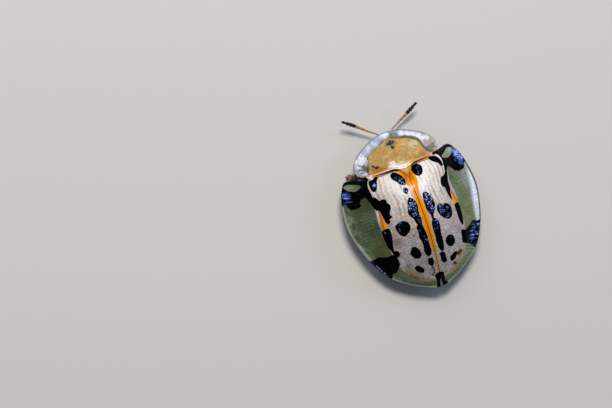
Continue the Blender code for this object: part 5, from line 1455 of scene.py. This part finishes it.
def makeUnderside(finish, hairs, hairFinish):
    s = underside
    sections = curveThrough(s["sections"], np.linspace(0, 1, s["rows"]))
    forward, half, top, belly = sections.T[:, :, None]
    t = np.linspace(-1, 1, s["bellyColumns"])[None]
    right = half * np.sin(t * np.pi / 2)
    share = np.abs(right / half)
    low = belly + (s["flank"] - belly) * share ** s["bellyPower"]
    dent = np.zeros_like(low)
    for line in s["ringLines"]:
        step = forward - (line - s["ringBow"] * share ** 2 * 0.6 + 0.12 * share ** 6)
        dent += s["ringDepth"] * bell(step / 0.035) + s["plateStep"] * np.clip(1 - step / 0.5, 0, 1) * (step > 0)
    for line in s["sternumLines"]:
        step = forward - line - 0.22 * share ** 2
        dent += s["grooveDepth"] * bell(step / 0.04)
    # a groove along the middle of the chest, and one along each side of the belly
    dent += s["grooveDepth"] * bell(right / 0.03) * (forward > 1.0) * (forward < 2.9)
    dent += s["grooveDepth"] * bell((share - 0.8) / 0.02) * (forward < -0.2)
    pitDepth, pitSize, rimHeight, rimSize, rimWidth = s["coxaPit"]
    for x, y in s["coxae"]:
        reach = np.hypot(np.abs(right) - x, (forward - y) * 1.1)
        dent += pitDepth * np.clip(1 - (reach / pitSize) ** 2, 0, 1) - rimHeight * bell((reach - rimSize) / rimWidth)
    low = np.minimum(low + dent, top - 0.3)
    u = np.linspace(1, -1, s["topColumns"] + 2)[None, 1:-1]
    upRight = half * np.sin(u * np.pi / 2)
    high = s["flank"] + (top - s["flank"]) * (1 - np.abs(upRight / half) ** s["backPower"])
    lower = np.stack([right, np.broadcast_to(forward, right.shape), low], -1)
    upper = np.stack([upRight, np.broadcast_to(forward, upRight.shape), high], -1)
    rings = np.concatenate([lower, upper], 1)
    darkness = np.concatenate([0.2 + 1.2 * dent + 0.5 * (forward > -0.2), np.full(upRight.shape, 0.5)], 1)
    hairy = np.concatenate([np.full(right.shape, 0.5), np.zeros(upRight.shape)], 1)
    darkness, hairy = (np.append(values.ravel(), (0, 0)) for values in (darkness, hairy))
    piece = bodyPiece("undersideSkin", [(gridSolid(rings), darkness, hairy)], finish)
    fuzz = runTree(hairs, piece, "undersideHairs", {**s["hairs"], "finish": hairFinish})
    for part in (piece, fuzz):
        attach(part, "root")
    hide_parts("thorax", "abdomen")


# Scutellum
scutellum = {
    "halfWidth": 0.5, "front": 4.26, "tip": 3.36, "frontRise": 2.97, "tipRise": 3.1, "thick": 0.3,
    # from the bottom to the top: level as a share of the thickness, and size as a share of the outline
    "levels": ((-1.0, 0.9), (-0.4, 1.0), (-0.15, 0.96), (-0.04, 0.82), (0.0, 0.5), (0.01, 0.15)),
    "corner": 1.8,      # how far a corner reaches before it is cut round
}


def makeScutellum(finish):
    s = scutellum
    turn = np.linspace(0, 2 * np.pi, 72, endpoint=False)
    middle = (s["front"] * 2 + s["tip"]) / 3
    # a triangle with rounded corners and its tip to the rear
    reach = 1 / np.maximum.reduce([np.cos(turn - np.pi / 2 - k * 2 * np.pi / 3) for k in range(3)])
    reach = np.minimum(reach, s["corner"])
    rings = []
    for level, inset in s["levels"]:
        x = np.cos(turn) * reach * s["halfWidth"] * 0.58 * inset
        y = middle + np.sin(turn) * reach * (s["front"] - s["tip"]) / 3 * inset
        share = (s["front"] - y) / (s["front"] - s["tip"])
        rise = s["frontRise"] + (s["tipRise"] - s["frontRise"]) * share + s["thick"] * level
        rings.append(np.stack([x, y, plan["rimHeight"] + rise], -1))
    piece = bodyPiece("scutellumPlate", [(gridSolid(rings), 0.0, 0.0)], finish)
    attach(piece, "root")
    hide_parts("scutellum")


# Rims
rims = {
    "wingRadius": 0.06, "pronotumRadius": 0.035, "steps": 260,
    # how far the beads' middle lies inside and below the shell's edge
    "wingInset": (0.05, 0.06), "pronotumInset": (0.04, 0.05), "pronotumWidth": 0.99,
}


def makeRims(bead, wingFinish, pronotumRimFinish):
    s = rims
    inside, below = s["wingInset"]
    for side, sign in (("left", -1), ("right", 1)):
        share = np.linspace(0.0, 1, s["steps"])
        right, forward, height = wingCasePoints(share, np.full(share.shape, 2.0))
        path = pathPiece("rimPath", np.stack([sign * (right - inside), forward, height - below], -1),
                         {"darkness": 2 * rimDarknessAndShadow(side, right, forward)})
        piece = runTree(bead, path, "wingRim" + side.capitalize(),
                        {"radius": s["wingRadius"] * mm, "finish": wingFinish})
        bpy.data.objects.remove(path)
        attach(piece, "root")
    across = np.linspace(-1, 1, s["steps"])
    right, forward, height = pronotumPoints(across, np.ones(across.shape))
    inside, below = s["pronotumInset"]
    path = pathPiece("pronotumRimPath",
                     np.stack([right * s["pronotumWidth"], forward - inside, height - below], -1), {})
    piece = runTree(bead, path, "pronotumRim", {"radius": s["pronotumRadius"] * mm, "finish": pronotumRimFinish})
    bpy.data.objects.remove(path)
    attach(piece, "root")


print("shell")
shellFinish = wingCaseFinish()
makeWingCase("left", shellFinish)
makeWingCase("right", shellFinish)
makePronotum(pronotumFinish())
amber = chitinFinish("amberLimbChitin")
beads = beadTree()
makeScutellum(chitinFinish("orangePlateChitin"))
makeRims(beads, chitinFinish("paleRimChitin"), chitinFinish("darkRimChitin"))
print("limbs")
hairs = hairTree()
goldHair = chitinFinish("goldHairChitin")
darkHair = chitinFinish("darkHairChitin")
for name in legs["places"]:
    makeLeg(name, amber, hairs, goldHair)
feelers = segmentTree()
feelerFinish = antennaFinish()
for name in antennae["paths"]:
    makeAntenna(name, feelers, feelerFinish, hairs, darkHair)
print("head and belly")
makeHead(amber, eyeFinish(), lensTree(), hairs, goldHair)
makeUnderside(chitinFinish("brownBellyChitin"), hairs, goldHair)


# Stage, lights and camera
stage = {
    "floor": "#D2D0CB", "floorSize": 4.0,
    "cameraLean": 9.0,        # degrees towards the beetle's left
    "cameraRoll": 20.6,       # degrees that the head points left of the picture's top
    "pixelsPerMm": 11.6,
    "pictureSize": (612, 408),
    "seamPoint": (416.4, 216.6),  # where the plan's zero point shows in the picture
    "distance": 250.0,
    "sensor": 36.0,
    "clip": (0.001, 10),      # nearest and farthest distance that is drawn, in metres
    "sky": "#CCD6E6", "skyStrength": 0.18,
}


def makeStage():
    half = stage["floorSize"] / 2
    mesh = bpy.data.meshes.new("floor")
    mesh.from_pydata([(-half, -half, 0), (half, -half, 0), (half, half, 0), (-half, half, 0)], [], [(0, 1, 2, 3)])
    made, tree, shader = newMaterial("mattePaper")
    feed(tree, shader, {"Base Color": stage["floor"], "Roughness": 0.9})
    mesh.materials.append(made)
    floor = addObject("floor", mesh)


lights = {
    # name: turn from the head towards the right flank and height above the floor in degrees, distance and size in
    # mm, strength as brightness of the box's face, colour
    "keyBox": (12, 58, 320, (110, 80), 30.0, "#FFFAF0"),
    "frontBox": (-4, 30, 300, (300, 150), 1.6, "#E4EAFF"),
    "rightBox": (88, 30, 300, (120, 60), 6.0, "#B4C8FF"),
    "leftBox": (-80, 38, 300, (100, 60), 1.3, "#A2BAFF"),
}


def makeLights():
    world = bpy.data.worlds.new("skyLight")
    bpy.context.scene.world = world
    world.use_nodes = True
    feed(world.node_tree, world.node_tree.nodes["Background"], {
        "Color": stage["sky"], "Strength": stage["skyStrength"]})
    for name, (turn, lift, distance, size, strength, colour) in lights.items():
        turn, lift = math.radians(turn), math.radians(lift)
        direction = Vector((-math.sin(turn) * math.cos(lift), -math.cos(turn) * math.cos(lift), math.sin(lift)))
        data = bpy.data.lights.new(name, "AREA")
        data.shape = "RECTANGLE"
        data.size, data.size_y = size[0] * mm, size[1] * mm
        data.energy = strength * math.pi * data.size * data.size_y
        data.color = hexColour(colour)[:3]
        light = addObject(name, data)
        light.location = direction * distance * mm
        light.rotation_euler = direction.to_track_quat("Z", "Y").to_euler()


def makeCamera():
    lean, roll = math.radians(stage["cameraLean"]), math.radians(stage["cameraRoll"])
    back = Vector((math.sin(lean), 0, math.cos(lean)))
    headward = Vector((0, -1, 0))
    side = headward.cross(back).normalized()
    up = headward * math.cos(roll) + side * math.sin(roll)
    across = side * math.cos(roll) - headward * math.sin(roll)
    wide, high = stage["pictureSize"]
    offRight = (wide / 2 - stage["seamPoint"][0]) / stage["pixelsPerMm"]
    offUp = (stage["seamPoint"][1] - high / 2) / stage["pixelsPerMm"]
    seam = Vector(place(0, 0, plan["rimHeight"]))
    aim = seam + (across * offRight + up * offUp) * mm
    data = bpy.data.cameras.new("camera")
    data.sensor_width = stage["sensor"]
    data.lens = stage["sensor"] * stage["distance"] / (wide / stage["pixelsPerMm"])
    data.clip_start, data.clip_end = stage["clip"]
    camera = addObject("camera", data)
    camera.matrix_world = Matrix.Translation(aim + back * stage["distance"] * mm) @ Matrix(
        (across, up, back)).transposed().to_4x4()
    bpy.context.scene.camera = camera


print("stage")
makeStage()
makeLights()
makeCamera()
bpy.context.scene.view_settings.view_transform = "Standard"
